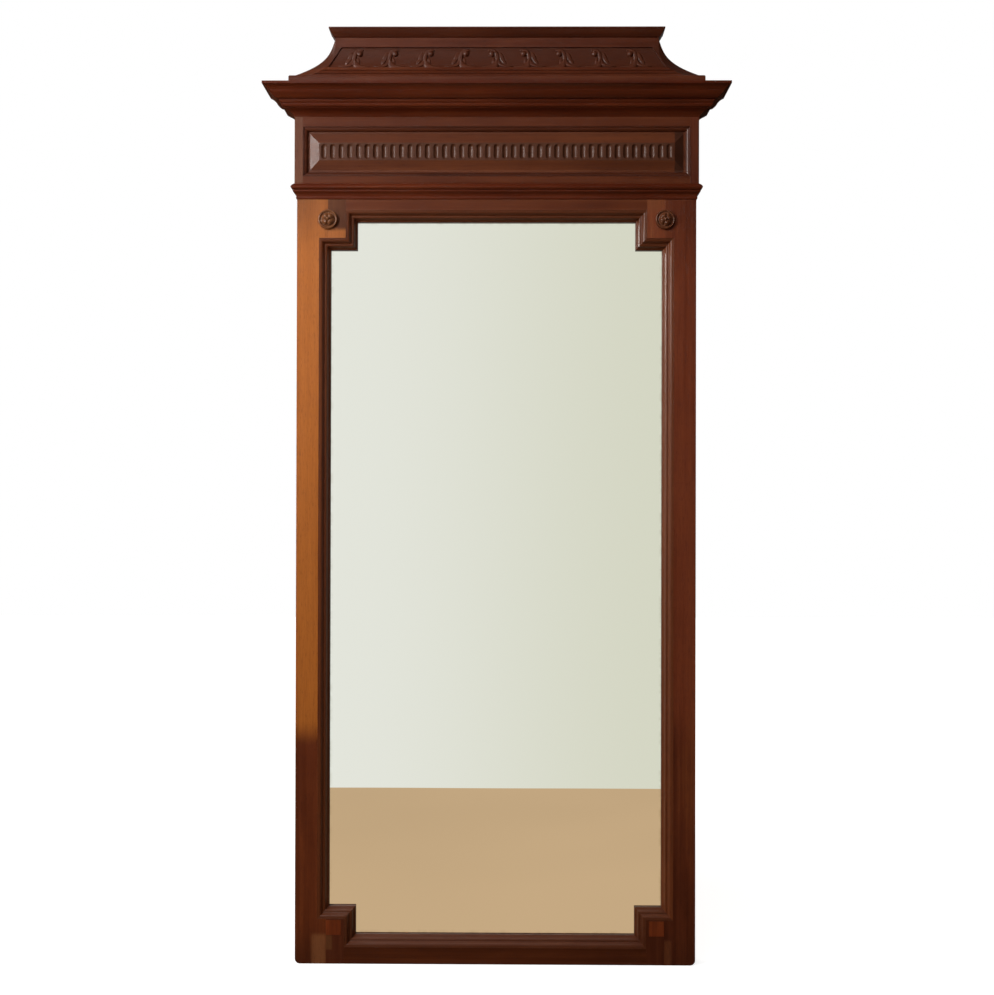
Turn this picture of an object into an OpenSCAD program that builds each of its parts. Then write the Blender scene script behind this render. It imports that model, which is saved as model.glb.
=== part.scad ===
// Trumeau mirror: a tall stepped looking-glass frame with a fluted frieze, a cornice and a carved crest.
// Millimetres. The wall is the plane y = 0, the front faces -Y, z = 0 is the foot, x = 0 the centre.

/* [Lower frame] */
// Width over the two stiles
frame_w = 850; // [780:5:920]
// Height of the stiles
frame_h = 1652; // [1450:10:1850]
// Thickness of stiles and rails, front to back
frame_t = 48; // [46:1:54]
// Width of a stile
stile_w = 66; // [62:1:74]
// Height of the top rail
top_rail_h = 67; // [62:1:80]
// Height of the bottom rail
bottom_rail_h = 54; // [50:1:70]
// Length of the rail tenons
tenon_l = 40; // [25:1:45]
// Thickness of the rail tenons
tenon_t = 12; // [8:1:13]
// Wood left above or below a tenon
tenon_edge = 9; // [6:1:12]
// Radius of the two bottom corners
foot_r = 11; // [2:1:14]

/* [Stepped sight edge] */
// Width of the block that steps into each corner of the glass
notch_w = 57; // [50:1:70]
// Height of that block
notch_h = 60; // [54:1:70]
// Width of the moulding round the glass
mould_w = 23; // [21:0.5:26]
// How deep the moulding is let into the frame
seat_t = 16; // [15:0.5:17]
// How far the moulding's lip hangs over the glass beyond the wood
lip_w = 4; // [3.5:0.5:5]
// Side of the square tiles in the lower blocks
tile_w = 32; // [26:1:34]
// Thickness of a tile
tile_t = 4; // [3:0.5:6]
// How far a tile stands proud
tile_proud = 0.4; // [0.2:0.1:1]

/* [Rosettes] */
// Distance of a rosette's centre below the architrave
rosette_drop = 43; // [38:1:46]
// Diameter of a rosette
rosette_d = 42; // [34:1:46]
// How far a rosette stands out
rosette_rise = 14; // [10:0.5:18]
// Diameter of its spigot
spigot_d = 10; // [8:0.5:11]
// Length of its spigot
spigot_l = 14; // [10:0.5:15]
// Number of petals
petal_count = 8; // [6:1:10]

/* [Glass and back] */
// Distance from the frame's face back to the glass
glass_setback = 25; // [24:0.5:27]
// Thickness of the mirror plate
glass_t = 5; // [4:0.5:6]
// Thickness of silvering and backing paint
film_t = 0.4; // [0.3:0.1:0.6]
// How far the plate reaches behind the sight edge
glass_cover = 10; // [9:0.5:11]
// Gap between the plate's edge and the rebate
glass_clear = 2; // [1:0.5:3]
// Thickness of the backboards
backboard_t = 7; // [6:0.5:7.5]
// Width of the ledge that carries the backboards
shoulder_w = 12; // [11:0.5:14]
// Gap round and between the backboards
board_gap = 0.5; // [0.2:0.1:1]
// Number of vertical backboards
board_count = 3; // [2:1:3]
// Leg of a wedge-shaped glazing block
wedge_w = 10; // [8:0.5:10]
// Length of a glazing block
wedge_l = 50; // [30:5:60]

/* [Architrave] */
// How far the architrave reaches below the top of the stiles
arch_drop = 26; // [24:1:30]
// Height of the architrave
arch_h = 33; // [32:1:36]
// How far the architrave stands out beyond the lower frame
arch_proj = 12.4; // [11:0.2:14]

/* [Frieze] */
// Height of the frieze
frieze_h = 149; // [140:1:165]
// How far the frieze stands out beyond the lower frame
frieze_proj = 5; // [4:0.5:7]
// Thickness of the boards of the frieze and cornice
carcass_t = 18; // [16:0.5:20]
// Visible width of a frieze stile
frieze_stile_w = 18; // [17:0.5:24]
// Height of the frieze's top rail
frieze_top_h = 20; // [18:0.5:26]
// Height of the frieze's bottom rail
frieze_bottom_h = 22; // [20:0.5:26]
// Length of the frieze rails' tenons
stub_l = 14; // [10:1:16]
// Width of the bead round the panel
bead_w = 10; // [7:0.5:11]
// How far the panel's border lies behind the frame's face
panel_drop = 8.5; // [8:0.5:9]
// Thickness of the panel's border
panel_t = 9; // [8:0.25:9.25]
// How far the fielded part rises above the border
field_rise = 6.5; // [5:0.5:7]
// Height of the fielded part
field_h = 37; // [34:1:40]
// Distance from a frieze stile to the end of the field
field_inset = 34; // [31:1:38]
// Width of the bevel round the field
bevel_w = 20; // [18:0.5:20]
// Width of one flute
flute_w = 12; // [10:0.5:13]
// Flat between two flutes
flute_gap = 6.36; // [5:0.25:8]
// Depth of a flute
flute_depth = 3.5; // [2.5:0.25:4.5]
// Length of a flute
flute_l = 32; // [28:1:34]

/* [Cornice] */
// How far the cornice stands out beyond the frieze
cornice_proj = 60; // [52:1:66]
// Height of the cornice
cornice_h = 59; // [54:1:66]
// Thickness of the dust board on top and the base board below
shelf_t = 12; // [10:0.5:14]

/* [Crest] */
// Distance from the cornice's end in to the crest's plinth
plinth_inset = 48; // [40:1:56]
// Depth of the plinth
plinth_d = 64; // [60:1:70]
// Height of the plinth
plinth_h = 27; // [24:1:32]
// Height of the front board between plinth and cap
crest_h = 89; // [84:1:96]
// Distance from the plinth's end in to the neck under the cap
neck_inset = 97; // [85:1:110]
// Depth of the neck under the cap
neck_d = 41; // [38:1:46]
// Depth at which the front board's back lies
crest_back_d = 21; // [18:1:24]
// How deep the carved panel is sunk
sink_t = 3; // [2:0.5:4]
// Height of the sunk panel
sunk_h = 45; // [41:1:47]
// Distance from the neck's corner in to the sunk panel along its top edge
sunk_inset = 13; // [11:1:20]
// Number of carved scrolls
scroll_count = 9; // [7:1:10]
// Height of a scroll
scroll_h = 38; // [32:0.5:40]
// Distance from the end of the sunk panel's top edge in to the last scroll's foot
scroll_inset = 34; // [28:1:44]
// How far the scrolls stand out of the sunk panel
scroll_rise = 4; // [3:0.5:5]
// How far the cap stands out beyond the neck
cap_proj = 13; // [10:0.5:15]
// Height of the cap above the front board
cap_h = 17; // [15:0.5:20]

/* [Hanging gear] */
// Height of the hanging rail
hang_rail_h = 60; // [54:1:70]
// Thickness of the hanging rail
hang_rail_t = 18; // [16:0.5:18]
// Distance from the side board in to the middle of a hanger
hanger_inset = 67; // [50:1:80]
// Thickness of a hanger plate
plate_t = 2; // [1.5:0.25:2.5]
// Width of a hanger plate
plate_w = 16; // [14:0.5:18]
// Radius of the ring's wire
wire_r = 2; // [1.75:0.05:2.25]
// Half width of the D-ring, to the middle of the wire
ring_r = 13; // [12:0.5:15]
// Running clearance between the ring's wire and its eye
eye_clear = 0.3; // [0.2:0.05:0.4]
// Width of each batten at the back
batten_w = 60; // [40:1:70]
// Thickness of the battens
batten_t = 14; // [12:0.5:15]
// Distance of each batten from the centre
batten_x = 250; // [200:5:270]

/* [Hidden] */
$fn = 40;
cut = 1;
touch = 0.3;
fit = 0.1;

walnut = "#6e3a20";
walnut_dark = "#54281a";
walnut_light = "#8a4d2b";
pine = "#b98f5e";
glass_tint = "#d9e2df";
film_grey = "#6f6a66";
steel = "#8f8d88";
brass = "#a68748";

frame_half = frame_w / 2;
stile_in = frame_half - stile_w;
sight_half = stile_in - lip_w;
rail_top = bottom_rail_h;
rail_z = frame_h - top_rail_h;
sight_z0 = rail_top + lip_w;
sight_z1 = rail_z - lip_w;
seat_d = frame_t - seat_t;
step_half = sight_half - notch_w;
step_z0 = sight_z0 + notch_h;
step_z1 = sight_z1 - notch_h;

glass_front = frame_t - glass_setback;
glass_back = glass_front - glass_t;
film_back = glass_back - film_t;
glass_half = sight_half + glass_cover;
glass_z0 = sight_z0 - glass_cover;
glass_z1 = sight_z1 + glass_cover;
rebate_half = glass_half + glass_clear;
rebate_z0 = glass_z0 - glass_clear;
rebate_z1 = glass_z1 + glass_clear;
shoulder_half = rebate_half + shoulder_w;
shoulder_z0 = rebate_z0 - shoulder_w;
shoulder_z1 = rebate_z1 + shoulder_w;
tenon_d = seat_d - cut - tenon_t;

arch_z = frame_h - arch_drop;
rosette_z = arch_z - rosette_drop;

frieze_half = frame_half + frieze_proj;
frieze_front = frame_t + frieze_proj;
frieze_back = frieze_front - carcass_t;
frieze_z0 = frame_h;
frieze_z1 = frieze_z0 + frieze_h;
open_half = frieze_half - frieze_stile_w;
open_z0 = frieze_z0 + frieze_bottom_h;
open_z1 = frieze_z1 - frieze_top_h;
open_mid = (open_z0 + open_z1) / 2;
border_front = frieze_front - panel_drop;
border_back = border_front - panel_t;
field_front = border_front + field_rise;
field_half = open_half - field_inset;
inner_half = frieze_half - carcass_t;

cornice_z1 = frieze_z1 + cornice_h;
dust_z = cornice_z1 - shelf_t;

plinth_half = frieze_half + cornice_proj - plinth_inset;
neck_half = plinth_half - neck_inset;
sunk_half = neck_half - sunk_inset;
scroll_pitch = 2 * (sunk_half - scroll_inset) / (scroll_count - 1);
plinth_z1 = cornice_z1 + plinth_h;
crest_z1 = plinth_z1 + crest_h;
plinth_round = 4;
foot_half = plinth_half - plinth_round;
foot_d = plinth_d - 1.5 * plinth_round;
neck_h = 5;
band_h = 18;
cap_in = 7;
sunk_z1 = crest_z1 - band_h - neck_h;
sunk_z0 = sunk_z1 - sunk_h;
end_w = 30;

hang_z0 = frieze_z0 + 48;
hang_d = frieze_back - hang_rail_t;
hanger_x = inner_half - hanger_inset;
eye_z = hang_z0 + 31;
eye_d = hang_d - plate_t - wire_r - touch;
eye_w = 12;
eye_r = wire_r + eye_clear;
eye_wall = 1.5;
ring_leg = 5;
plate_l = 29;

board_screw = [3.5, 7, 22];
carcass_screw = [4, 8, 32];
hanger_screw = [3, 5.6, 12];

// A board between two x values, two depths in front of the wall and two heights
module board(x, d, z) {
    translate([min(x), -max(d), min(z)])
        cube([max(x) - min(x), max(d) - min(d), max(z) - min(z)]);
}

// The children and their copy on the other side of the centre line
module both_sides() {
    children();
    mirror([1, 0, 0]) children();
}

// Points from a to b that swell out by h on the right-hand side of the way, for beads, ovolos and coves
function swell(a, b, h, n = 6) =
    let (way = b - a, side = [way[1], -way[0]] / norm(way))
    [for (i = [0:n]) a + way * i / n + side * 4 * h * (i / n) * (1 - i / n)];

// A section drawn at any size, stretched so that it reaches w out and h up
function fitted(points, w, h) =
    let (out = max([for (p = points) p[0]]), up = max([for (p = points) p[1]]))
    [for (p = points) [p[0] * w / out, p[1] * h / up]];

// An outline in the plane of the wall, cut through from the wall to a depth
module elevation(points, depth) {
    rotate([90, 0, 0]) linear_extrude(depth) polygon(points);
}

// A section of [depth, height] points drawn out along X
module along_x(points, half) {
    translate([-half, 0, 0]) rotate([90, 0, 90]) linear_extrude(2 * half)
        polygon([for (p = points) [-p[0], p[1]]]);
}

// A moulding that runs round the front of a box, mitred at 45 degrees, from its section [out, height]
module front_run(section, half, depth, reach, z0, z1) {
    intersection() {
        along_x([for (p = section) [depth + p[0], p[1]]], half + reach);
        translate([0, 0, z0]) linear_extrude(z1 - z0)
            polygon([[-half, -depth], [half, -depth], [half + reach, -depth - reach],
                [-half - reach, -depth - reach]]);
    }
}

// The return of the same moulding along the right side
module side_run(section, half, depth, reach, z0, z1) {
    intersection() {
        rotate([90, 0, 0]) linear_extrude(depth + reach) polygon([for (p = section) [half + p[0], p[1]]]);
        translate([0, 0, z0]) linear_extrude(z1 - z0)
            polygon([[half, 0], [half, -depth], [half + reach, -depth - reach], [half + reach, 0]]);
    }
}

// One mitred length i of a moulding between an inner and an outer outline.
// Its section is [distance from the inner line, depth behind the face].
module strip(inner, outer, i, section, face, w) {
    j = (i + 1) % len(inner);
    a = inner[i];
    run = inner[j] - a;
    way = run / norm(run);
    s0 = (outer[i] - a) * way;
    s1 = (outer[j] - a) * way;
    start = min(0, s0);
    length = max(norm(run), s1) - start;
    translate([a[0], 0, a[1]]) rotate([0, -atan2(way[1], way[0]), 0]) intersection() {
        translate([start, 0, 0]) rotate([90, 0, 90]) linear_extrude(length)
            polygon([for (p = section) [p[1] - face, -p[0]]]);
        elevation([[0, 0], [norm(run), 0], [s1, -w], [s0, -w]], face + cut);
    }
}

// A countersunk wood screw [shank, head, length] that goes in along +Z, and the hole for it
module screw(size, room = 0) {
    head_h = (size[1] - size[0]) / 2;
    tip_h = size[0];
    cylinder(h = head_h, d1 = size[1] + 2 * room, d2 = size[0] + 2 * room);
    cylinder(h = size[2] - tip_h + room, d = size[0] + 2 * room);
    translate([0, 0, size[2] - tip_h]) cylinder(h = tip_h + room, d1 = size[0] + 2 * room, d2 = 0.8);
}

module slotted_screw(size) {
    difference() {
        screw(size);
        translate([-size[1], -0.4, -cut]) cube([2 * size[1], 0.8, cut + 0.7]);
    }
}

// The children at each place of a list, turned to go in from the back
module from_back(places) {
    for (p = places) translate([p[0], -p[2], p[1]]) rotate([90, 0, 0]) children();
}

// The stepped outline round the glass, let out by o into the wood
function sight_line(o) =
    let (hx = sight_half + o, nx = step_half + o, z0 = sight_z0 - o, z1 = sight_z1 + o,
        n0 = step_z0 - o, n1 = step_z1 + o)
    [[-nx, z0], [nx, z0], [nx, n0], [hx, n0], [hx, n1], [nx, n1],
        [nx, z1], [-nx, z1], [-nx, n1], [-hx, n1], [-hx, n0], [-nx, n0]];

// Section of the moulding round the glass: fillet, flat ovolo, cove, flat bead, cove and thin lip
lip_back = glass_setback - touch;
sight_section = concat(
    [[mould_w, seat_t], [mould_w, 0], [mould_w - 1.3, 0]],
    swell([mould_w - 1.6, 0.7], [mould_w - 7.4, 2.4], -0.6),
    swell([mould_w - 7.8, 3.2], [mould_w - 12, 8.6], 0.6),
    swell([mould_w - 12.6, 8.2], [6.8, 9.4], -0.4, 4),
    swell([6.4, 10.2], [1.7, 17.4], 0.6),
    [[1.2, 17.6], [0, 18.8], [0, lip_back], [lip_w, lip_back], [lip_w, seat_t]]);

module sight_strip(i) {
    strip(sight_line(0), sight_line(mould_w), i, sight_section, frame_t, mould_w);
}

// Holes for the backboard screws: down both sides and along both rails
side_screw_count = 7;
board_half = shoulder_half - board_gap;
plank_w = (2 * board_half - (board_count - 1) * board_gap) / board_count;
screw_edge = rebate_half + shoulder_w / 2;
side_screw_z = [for (i = [0:side_screw_count - 1])
    step_z0 + (step_z1 - step_z0) * (i + 0.5) / side_screw_count];
function plank_x(i) = -board_half + i * (plank_w + board_gap);
plank_screw_x = [for (i = [0:board_count - 1]) for (s = [0.25, 0.75]) plank_x(i) + s * plank_w];
board_screws = concat(
    [for (side = [-1, 1]) for (z = side_screw_z) [side * screw_edge, z, 0]],
    [for (x = plank_screw_x) [x, rebate_z1 + shoulder_w / 2, 0]],
    [for (x = plank_screw_x) [x, rebate_z0 - shoulder_w / 2, 0]]);

batten_z0 = rebate_z1 + shoulder_w + 4;
batten_screws = [for (side = [-1, 1]) for (z = [batten_z0 + 8, frame_h - 9, frame_h + shelf_t / 2,
    dust_z + shelf_t / 2]) [side * batten_x, z, 0]];
crest_screw_x = [batten_x - 100, batten_x + 110];
crest_screw_d = frieze_back - 12;

// Places of the batten screws and, from below, of the crest screws
module carcass_screw_places() {
    from_back(batten_screws) children();
    both_sides() for (x = crest_screw_x) translate([x, -crest_screw_d, dust_z]) children();
}

// Right stile with its seats, rebates, mortises and the half hole of the rosette's spigot
module stile() {
    difference() {
        board([stile_in, frame_half], [0, frame_t], [0, frame_h]);
        board([stile_in - cut, sight_half + mould_w], [seat_d, frame_t + cut],
            [step_z0 - mould_w, step_z1 + mould_w]);
        board([stile_in - cut, rebate_half], [-cut, glass_front], [rebate_z0, rebate_z1]);
        board([stile_in - cut, shoulder_half], [-cut, backboard_t], [shoulder_z0, shoulder_z1]);
        tenon(tenon_edge, rebate_z0 - cut);
        tenon(rebate_z1 + cut, frame_h - tenon_edge);
        from_back([[stile_in, rosette_z, frame_t - spigot_l - cut]])
            cylinder(h = spigot_l + 2 * cut, d = spigot_d + 2 * fit);
        from_back(board_screws) screw(board_screw, fit);
        difference() {
            board([frame_half - foot_r, frame_half + cut], [-cut, frame_t + cut], [-cut, foot_r]);
            translate([0, cut, 0]) rotate([90, 0, 0]) translate([frame_half - foot_r, foot_r, -cut])
                cylinder(h = frame_t + 4 * cut, r = foot_r);
        }
    }
}

// Tenon of a rail on the right side, also the shape of its mortise
module tenon(z0, z1) {
    board([stile_in - cut, stile_in + tenon_l], [tenon_d, tenon_d + tenon_t], [z0, z1]);
}

module left_stile() {
    color(walnut_light) mirror([1, 0, 0]) stile();
}

module right_stile() {
    color(walnut) stile();
}

// A rail between z_in at the glass and z_out at the outer edge
module rail(z_in, z_out, rebate, shoulder, tenon_z) {
    way = sign(z_in - z_out);
    difference() {
        union() {
            board([-stile_in, stile_in], [0, frame_t], [z_in, z_out]);
            both_sides() tenon(tenon_z[0], tenon_z[1]);
        }
        board([-step_half - mould_w, step_half + mould_w], [seat_d, frame_t + cut],
            [z_in + way * cut, z_in - way * (mould_w - lip_w)]);
        both_sides() board([step_half + mould_w, stile_in + cut], [seat_d, frame_t + cut],
            [z_in + way * cut, z_out - way * cut]);
        board([-stile_in - cut, stile_in + cut], [-cut, glass_front], [z_in + way * cut, rebate]);
        board([-stile_in - cut, stile_in + cut], [-cut, backboard_t], [z_in + way * cut, shoulder]);
        from_back(board_screws) screw(board_screw, fit);
        children();
    }
}

module top_rail() {
    color(walnut_dark)
    rail(rail_z, frame_h, rebate_z1, shoulder_z1, [rebate_z1 + cut, frame_h - tenon_edge]) {
        both_sides() board([batten_x - batten_w / 2, batten_x + batten_w / 2], [-cut, batten_t],
            [batten_z0, frame_h + cut]);
        from_back(batten_screws) screw(carcass_screw, fit);
    }
}

module bottom_rail() {
    color(walnut_dark) rail(rail_top, 0, rebate_z0, shoulder_z0, [tenon_edge, rebate_z0 - cut]);
}

// Right-hand corner block: its step into the glass and its lap over the rail
module corner_block(z_rail, z_out, z_step) {
    way = sign(z_rail - z_step);
    block_d = glass_front + touch;
    difference() {
        union() {
            board([step_half + lip_w, stile_in], [block_d, frame_t], [z_step + way * lip_w, z_rail]);
            board([step_half + mould_w, stile_in], [seat_d, frame_t], [z_rail, z_out]);
        }
        board([step_half, step_half + mould_w], [seat_d, frame_t + cut], [z_step, z_rail]);
        board([step_half, stile_in + cut], [seat_d, frame_t + cut], [z_step, z_step + way * mould_w]);
        from_back([[stile_in, rosette_z, frame_t - spigot_l - cut]])
            cylinder(h = spigot_l + 2 * cut, d = spigot_d + 2 * fit);
        tile(fit);
    }
}

module upper_right_block() {
    color(walnut_light) corner_block(rail_z, frame_h, step_z1);
}

module upper_left_block() {
    color(walnut_light) mirror([1, 0, 0]) corner_block(rail_z, frame_h, step_z1);
}

module lower_right_block() {
    color(walnut_dark) corner_block(rail_top, 0, step_z0);
}

module lower_left_block() {
    color(walnut_dark) mirror([1, 0, 0]) corner_block(rail_top, 0, step_z0);
}

// Right-hand square tile, or its pocket
module tile(room = 0) {
    tile_z1 = step_z0 - mould_w - 2;
    board([stile_in - tile_w - room, stile_in + 10 * room], [frame_t - tile_t, frame_t + tile_proud],
        [tile_z1 - tile_w - room, tile_z1 + room]);
}

module corner_tiles() {
    color("#8a3a22") both_sides() tile();
}

module bottom_sight_moulding() {
    color(walnut_dark) sight_strip(0);
}

module right_sight_moulding() {
    color(walnut_dark) sight_strip(3);
}

module top_sight_moulding() {
    color(walnut_dark) sight_strip(6);
}

module left_sight_moulding() {
    color(walnut_dark) sight_strip(9);
}

module lower_right_notch_moulding() {
    color(walnut_dark) for (i = [1, 2]) sight_strip(i);
}

module upper_right_notch_moulding() {
    color(walnut_dark) for (i = [4, 5]) sight_strip(i);
}

module upper_left_notch_moulding() {
    color(walnut_dark) for (i = [7, 8]) sight_strip(i);
}

module lower_left_notch_moulding() {
    color(walnut_dark) for (i = [10, 11]) sight_strip(i);
}

// Turned rosette: spigot, disc with a raised rim, and a domed boss cut into petals
module rosette() {
    r = rosette_d / 2;
    boss_r = 0.64 * r;
    translate([stile_in, -frame_t, rosette_z]) rotate([90, 0, 0]) difference() {
        rotate_extrude() polygon(concat(
            [[0, -spigot_l], [spigot_d / 2, -spigot_l], [spigot_d / 2, 0], [r, 0], [r, 2.4]],
            swell([r, 2.6], [r - 4.6, 3.6], 2),
            [[r - 5.2, 2.4], [boss_r + 0.3, 2.2]],
            swell([boss_r, 3], [2.4, rosette_rise - 1], 2.6, 8),
            [[1.6, rosette_rise - 2.2], [0, rosette_rise - 1.6]]));
        for (i = [0:petal_count - 1]) rotate(360 * (i + 0.5) / petal_count)
            translate([boss_r - 0.4, 0, rosette_rise - 4.5]) sphere(r = 2.9, $fn = 24);
    }
}

module right_rosette() {
    color(walnut_dark) rosette();
}

module left_rosette() {
    color(walnut_dark) mirror([1, 0, 0]) rosette();
}

module mirror_glass() {
    color(glass_tint) board([-glass_half, glass_half], [glass_back, glass_front], [glass_z0, glass_z1]);
}

module silvering() {
    color(film_grey) board([-glass_half, glass_half], [film_back, glass_back], [glass_z0, glass_z1]);
}

// Wedge-shaped blocks glued in the rebate behind the plate
module glazing_blocks() {
    side_count = 6;
    rail_x = glass_half * 0.6;
    color(pine) {
        both_sides() for (i = [0:side_count - 1])
            translate([0, 0, step_z0 + (step_z1 - step_z0 - wedge_l) * i / (side_count - 1)])
                linear_extrude(wedge_l) polygon([[rebate_half, -film_back],
                    [rebate_half - wedge_w, -film_back], [rebate_half, wedge_w - film_back]]);
        for (x = [-rail_x, 0, rail_x]) for (end = [[rebate_z1, -1], [rebate_z0, 1]])
            translate([x - wedge_l / 2, 0, 0]) rotate([90, 0, 90]) linear_extrude(wedge_l)
                polygon([[-film_back, end[0]], [-film_back, end[0] + end[1] * wedge_w],
                    [wedge_w - film_back, end[0]]]);
    }
}

module plank(i) {
    color(pine) difference() {
        board([plank_x(i), plank_x(i) + plank_w], [0, backboard_t],
            [shoulder_z0 + board_gap, shoulder_z1 - board_gap]);
        from_back(board_screws) screw(board_screw, fit);
    }
}

module left_backboard() {
    plank(0);
}

module middle_backboard() {
    for (i = [1:board_count - 2]) plank(i);
}

module right_backboard() {
    plank(board_count - 1);
}

module backboard_screws() {
    color(steel) from_back(board_screws) slotted_screw(board_screw);
}

// Section of the architrave, from the face of the lower frame: beads, cove, and a nose on top
arch_nose_h = arch_h * 0.76;
arch_section = [for (p = concat(
    fitted(concat(
        [[0, 0], [1.2, 0.4]],
        swell([1.4, 0.8], [1.6, 5.2], 0.7),
        [[0.8, 6]],
        swell([1, 6.4], [5.6, 13.2], -1),
        swell([6.2, 14], [8.2, 18], 0.9),
        [[7.4, 19.2], [9.4, 20]],
        swell([9.8, 20.4], [12.4, 25], 0.6, 4)), arch_proj, arch_nose_h),
    swell([arch_proj - 0.4, arch_nose_h + 1.2], [frieze_proj, arch_h], 0.7),
    [[frieze_proj, arch_drop], [0, arch_drop]])) [p[0], p[1] + arch_z]];
arch_reach = arch_proj + 8;

module architrave_front() {
    color(walnut) front_run(arch_section, frame_half, frame_t, arch_reach, arch_z, arch_z + arch_h);
}

module architrave_right() {
    color(walnut) side_run(arch_section, frame_half, frame_t, arch_reach, arch_z, arch_z + arch_h);
}

module architrave_left() {
    color(walnut) mirror([1, 0, 0])
        side_run(arch_section, frame_half, frame_t, arch_reach, arch_z, arch_z + arch_h);
}

// Stub tenons of the frieze rails, also the shape of their mortises
stub_t = 8;
stub_d = frieze_back + (carcass_t - stub_t) / 2;
stub_edge = 3;

module frieze_stubs() {
    stub_x = [open_half - cut, open_half + stub_l];
    stub_y = [stub_d, stub_d + stub_t];
    both_sides() {
        board(stub_x, stub_y, [frieze_z0 + stub_edge, open_z0 - stub_edge]);
        board(stub_x, stub_y, [open_z1 + stub_edge, frieze_z1 - stub_edge]);
    }
}

module frieze_stile() {
    difference() {
        board([open_half, frieze_half], [frieze_back, frieze_front], [frieze_z0, frieze_z1]);
        frieze_stubs();
    }
}

module frieze_left_stile() {
    color(walnut) mirror([1, 0, 0]) frieze_stile();
}

module frieze_right_stile() {
    color(walnut) frieze_stile();
}

module frieze_rail(z0, z1) {
    board([-open_half, open_half], [frieze_back, frieze_front], [z0, z1]);
    intersection() {
        frieze_stubs();
        board([-frieze_half, frieze_half], [frieze_back, frieze_front], [z0, z1]);
    }
}

module frieze_top_rail() {
    color(walnut) frieze_rail(open_z1, frieze_z1);
}

module frieze_bottom_rail() {
    color(walnut) frieze_rail(frieze_z0, open_z0);
}

// The raised and fielded panel with its row of stopped flutes
module frieze_panel() {
    panel_gap = touch;
    bevel_half = field_half + bevel_w;
    field_z = [open_mid - field_h / 2, open_mid + field_h / 2];
    bevel_z = [field_z[0] - bevel_w, field_z[1] + bevel_w];
    pitch = flute_w + flute_gap;
    count = floor((2 * field_half + flute_gap - 8) / pitch);
    r = (pow(flute_w / 2, 2) + pow(flute_depth, 2)) / (2 * flute_depth);
    bore_d = field_front - flute_depth + r;
    root_d = border_front - cut;
    end_line = [[bevel_half, -root_d], [bevel_half, -border_front], [field_half, -field_front]];
    top_line = [[field_front, field_z[1]], [border_front, bevel_z[1]], [root_d, bevel_z[1]]];
    color(walnut_dark) difference() {
        union() {
            board([-open_half + panel_gap, open_half - panel_gap], [border_back, border_front],
                [open_z0 + panel_gap, open_z1 - panel_gap]);
            intersection() {
                translate([0, 0, bevel_z[0]]) linear_extrude(bevel_z[1] - bevel_z[0])
                    polygon(concat(end_line, [for (i = [2:-1:0]) [-end_line[i][0], end_line[i][1]]]));
                along_x(concat(top_line,
                    [for (i = [2:-1:0]) [top_line[i][0], 2 * open_mid - top_line[i][1]]]), bevel_half);
            }
        }
        for (i = [0:count - 1]) translate([(i - (count - 1) / 2) * pitch, -bore_d, open_mid]) {
            translate([0, 0, flute_w / 2 - flute_l / 2]) cylinder(h = flute_l - flute_w, r = r);
            for (end = [-1, 1]) translate([0, 0, end * (flute_l - flute_w) / 2]) sphere(r = r);
        }
    }
}

// Four straight runs planted in the opening; where they cross, their hollows meet in mitres
module frieze_beads() {
    section = concat([[0, 0]], swell([1.4, 0], [panel_drop - 2, bead_w - 2.4], 1.3),
        [[panel_drop - 0.8, bead_w - 1.8], [panel_drop - 0.8, bead_w], [0, bead_w]]);
    level = [for (p = section) [border_front + p[0], open_z1 - bead_w + p[1]]];
    color(walnut) {
        along_x(level, open_half);
        along_x([for (p = level) [p[0], 2 * open_mid - p[1]]], open_half);
        both_sides() translate([0, 0, open_z0]) linear_extrude(open_z1 - open_z0)
            polygon([for (p = section) [open_half - bead_w + p[1], -border_front - p[0]]]);
    }
}

module frieze_side() {
    board([inner_half, frieze_half], [0, frieze_back], [frieze_z0, frieze_z1]);
}

module frieze_left_side() {
    color(walnut) mirror([1, 0, 0]) frieze_side();
}

module frieze_right_side() {
    color(walnut) frieze_side();
}

// A shelf between the side boards, notched at the back for the battens
module shelf(z) {
    difference() {
        board([-inner_half, inner_half], [0, frieze_back], [z, z + shelf_t]);
        both_sides() board([batten_x - batten_w / 2, batten_x + batten_w / 2], [-cut, batten_t],
            [z - cut, z + shelf_t + cut]);
        carcass_screw_places() screw(carcass_screw, fit);
    }
}

module base_board() {
    color(pine) shelf(frame_h);
}

module dust_board() {
    color(pine) shelf(dust_z);
}

module hanging_rail() {
    color(pine) difference() {
        board([-inner_half, inner_half], [hang_d, frieze_back], [hang_z0, hang_z0 + hang_rail_h]);
        hanger_screw_places() screw(hanger_screw, fit);
    }
}

// Section of the cornice, from the inner face of the frieze boards: cove, beads, belly, hollow, fillet
cornice_section = concat(
    [[0, frieze_z1], [carcass_t, frieze_z1]],
    [for (p = fitted(concat(
        [[1, 0.6]],
        swell([1.5, 1.6], [18.8, 14], -1.6),
        [[19.2, 15.2], [22.2, 15.8]],
        swell([22.6, 16.2], [25.6, 21.6], 0.6, 5),
        [[25.2, 22.4]],
        swell([25.8, 22.8], [29.4, 28.6], 0.7, 5),
        [[29.2, 29.8], [34.6, 30.8]],
        swell([35.2, 31.2], [46.6, 43], 1.1, 8),
        [[46.8, 44.2]],
        swell([47.8, 44.6], [59, 53.2], -0.9),
        [[60.2, 53.8], [60.2, 59]]), cornice_proj, cornice_h)) [p[0] + carcass_t, p[1] + frieze_z1]],
    [[0, cornice_z1]]);
cornice_reach = carcass_t + cornice_proj + 5;

module cornice_front() {
    color(walnut) front_run(cornice_section, inner_half, frieze_back, cornice_reach, frieze_z1, cornice_z1);
}

module cornice_right() {
    color(walnut) side_run(cornice_section, inner_half, frieze_back, cornice_reach, frieze_z1, cornice_z1);
}

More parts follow.
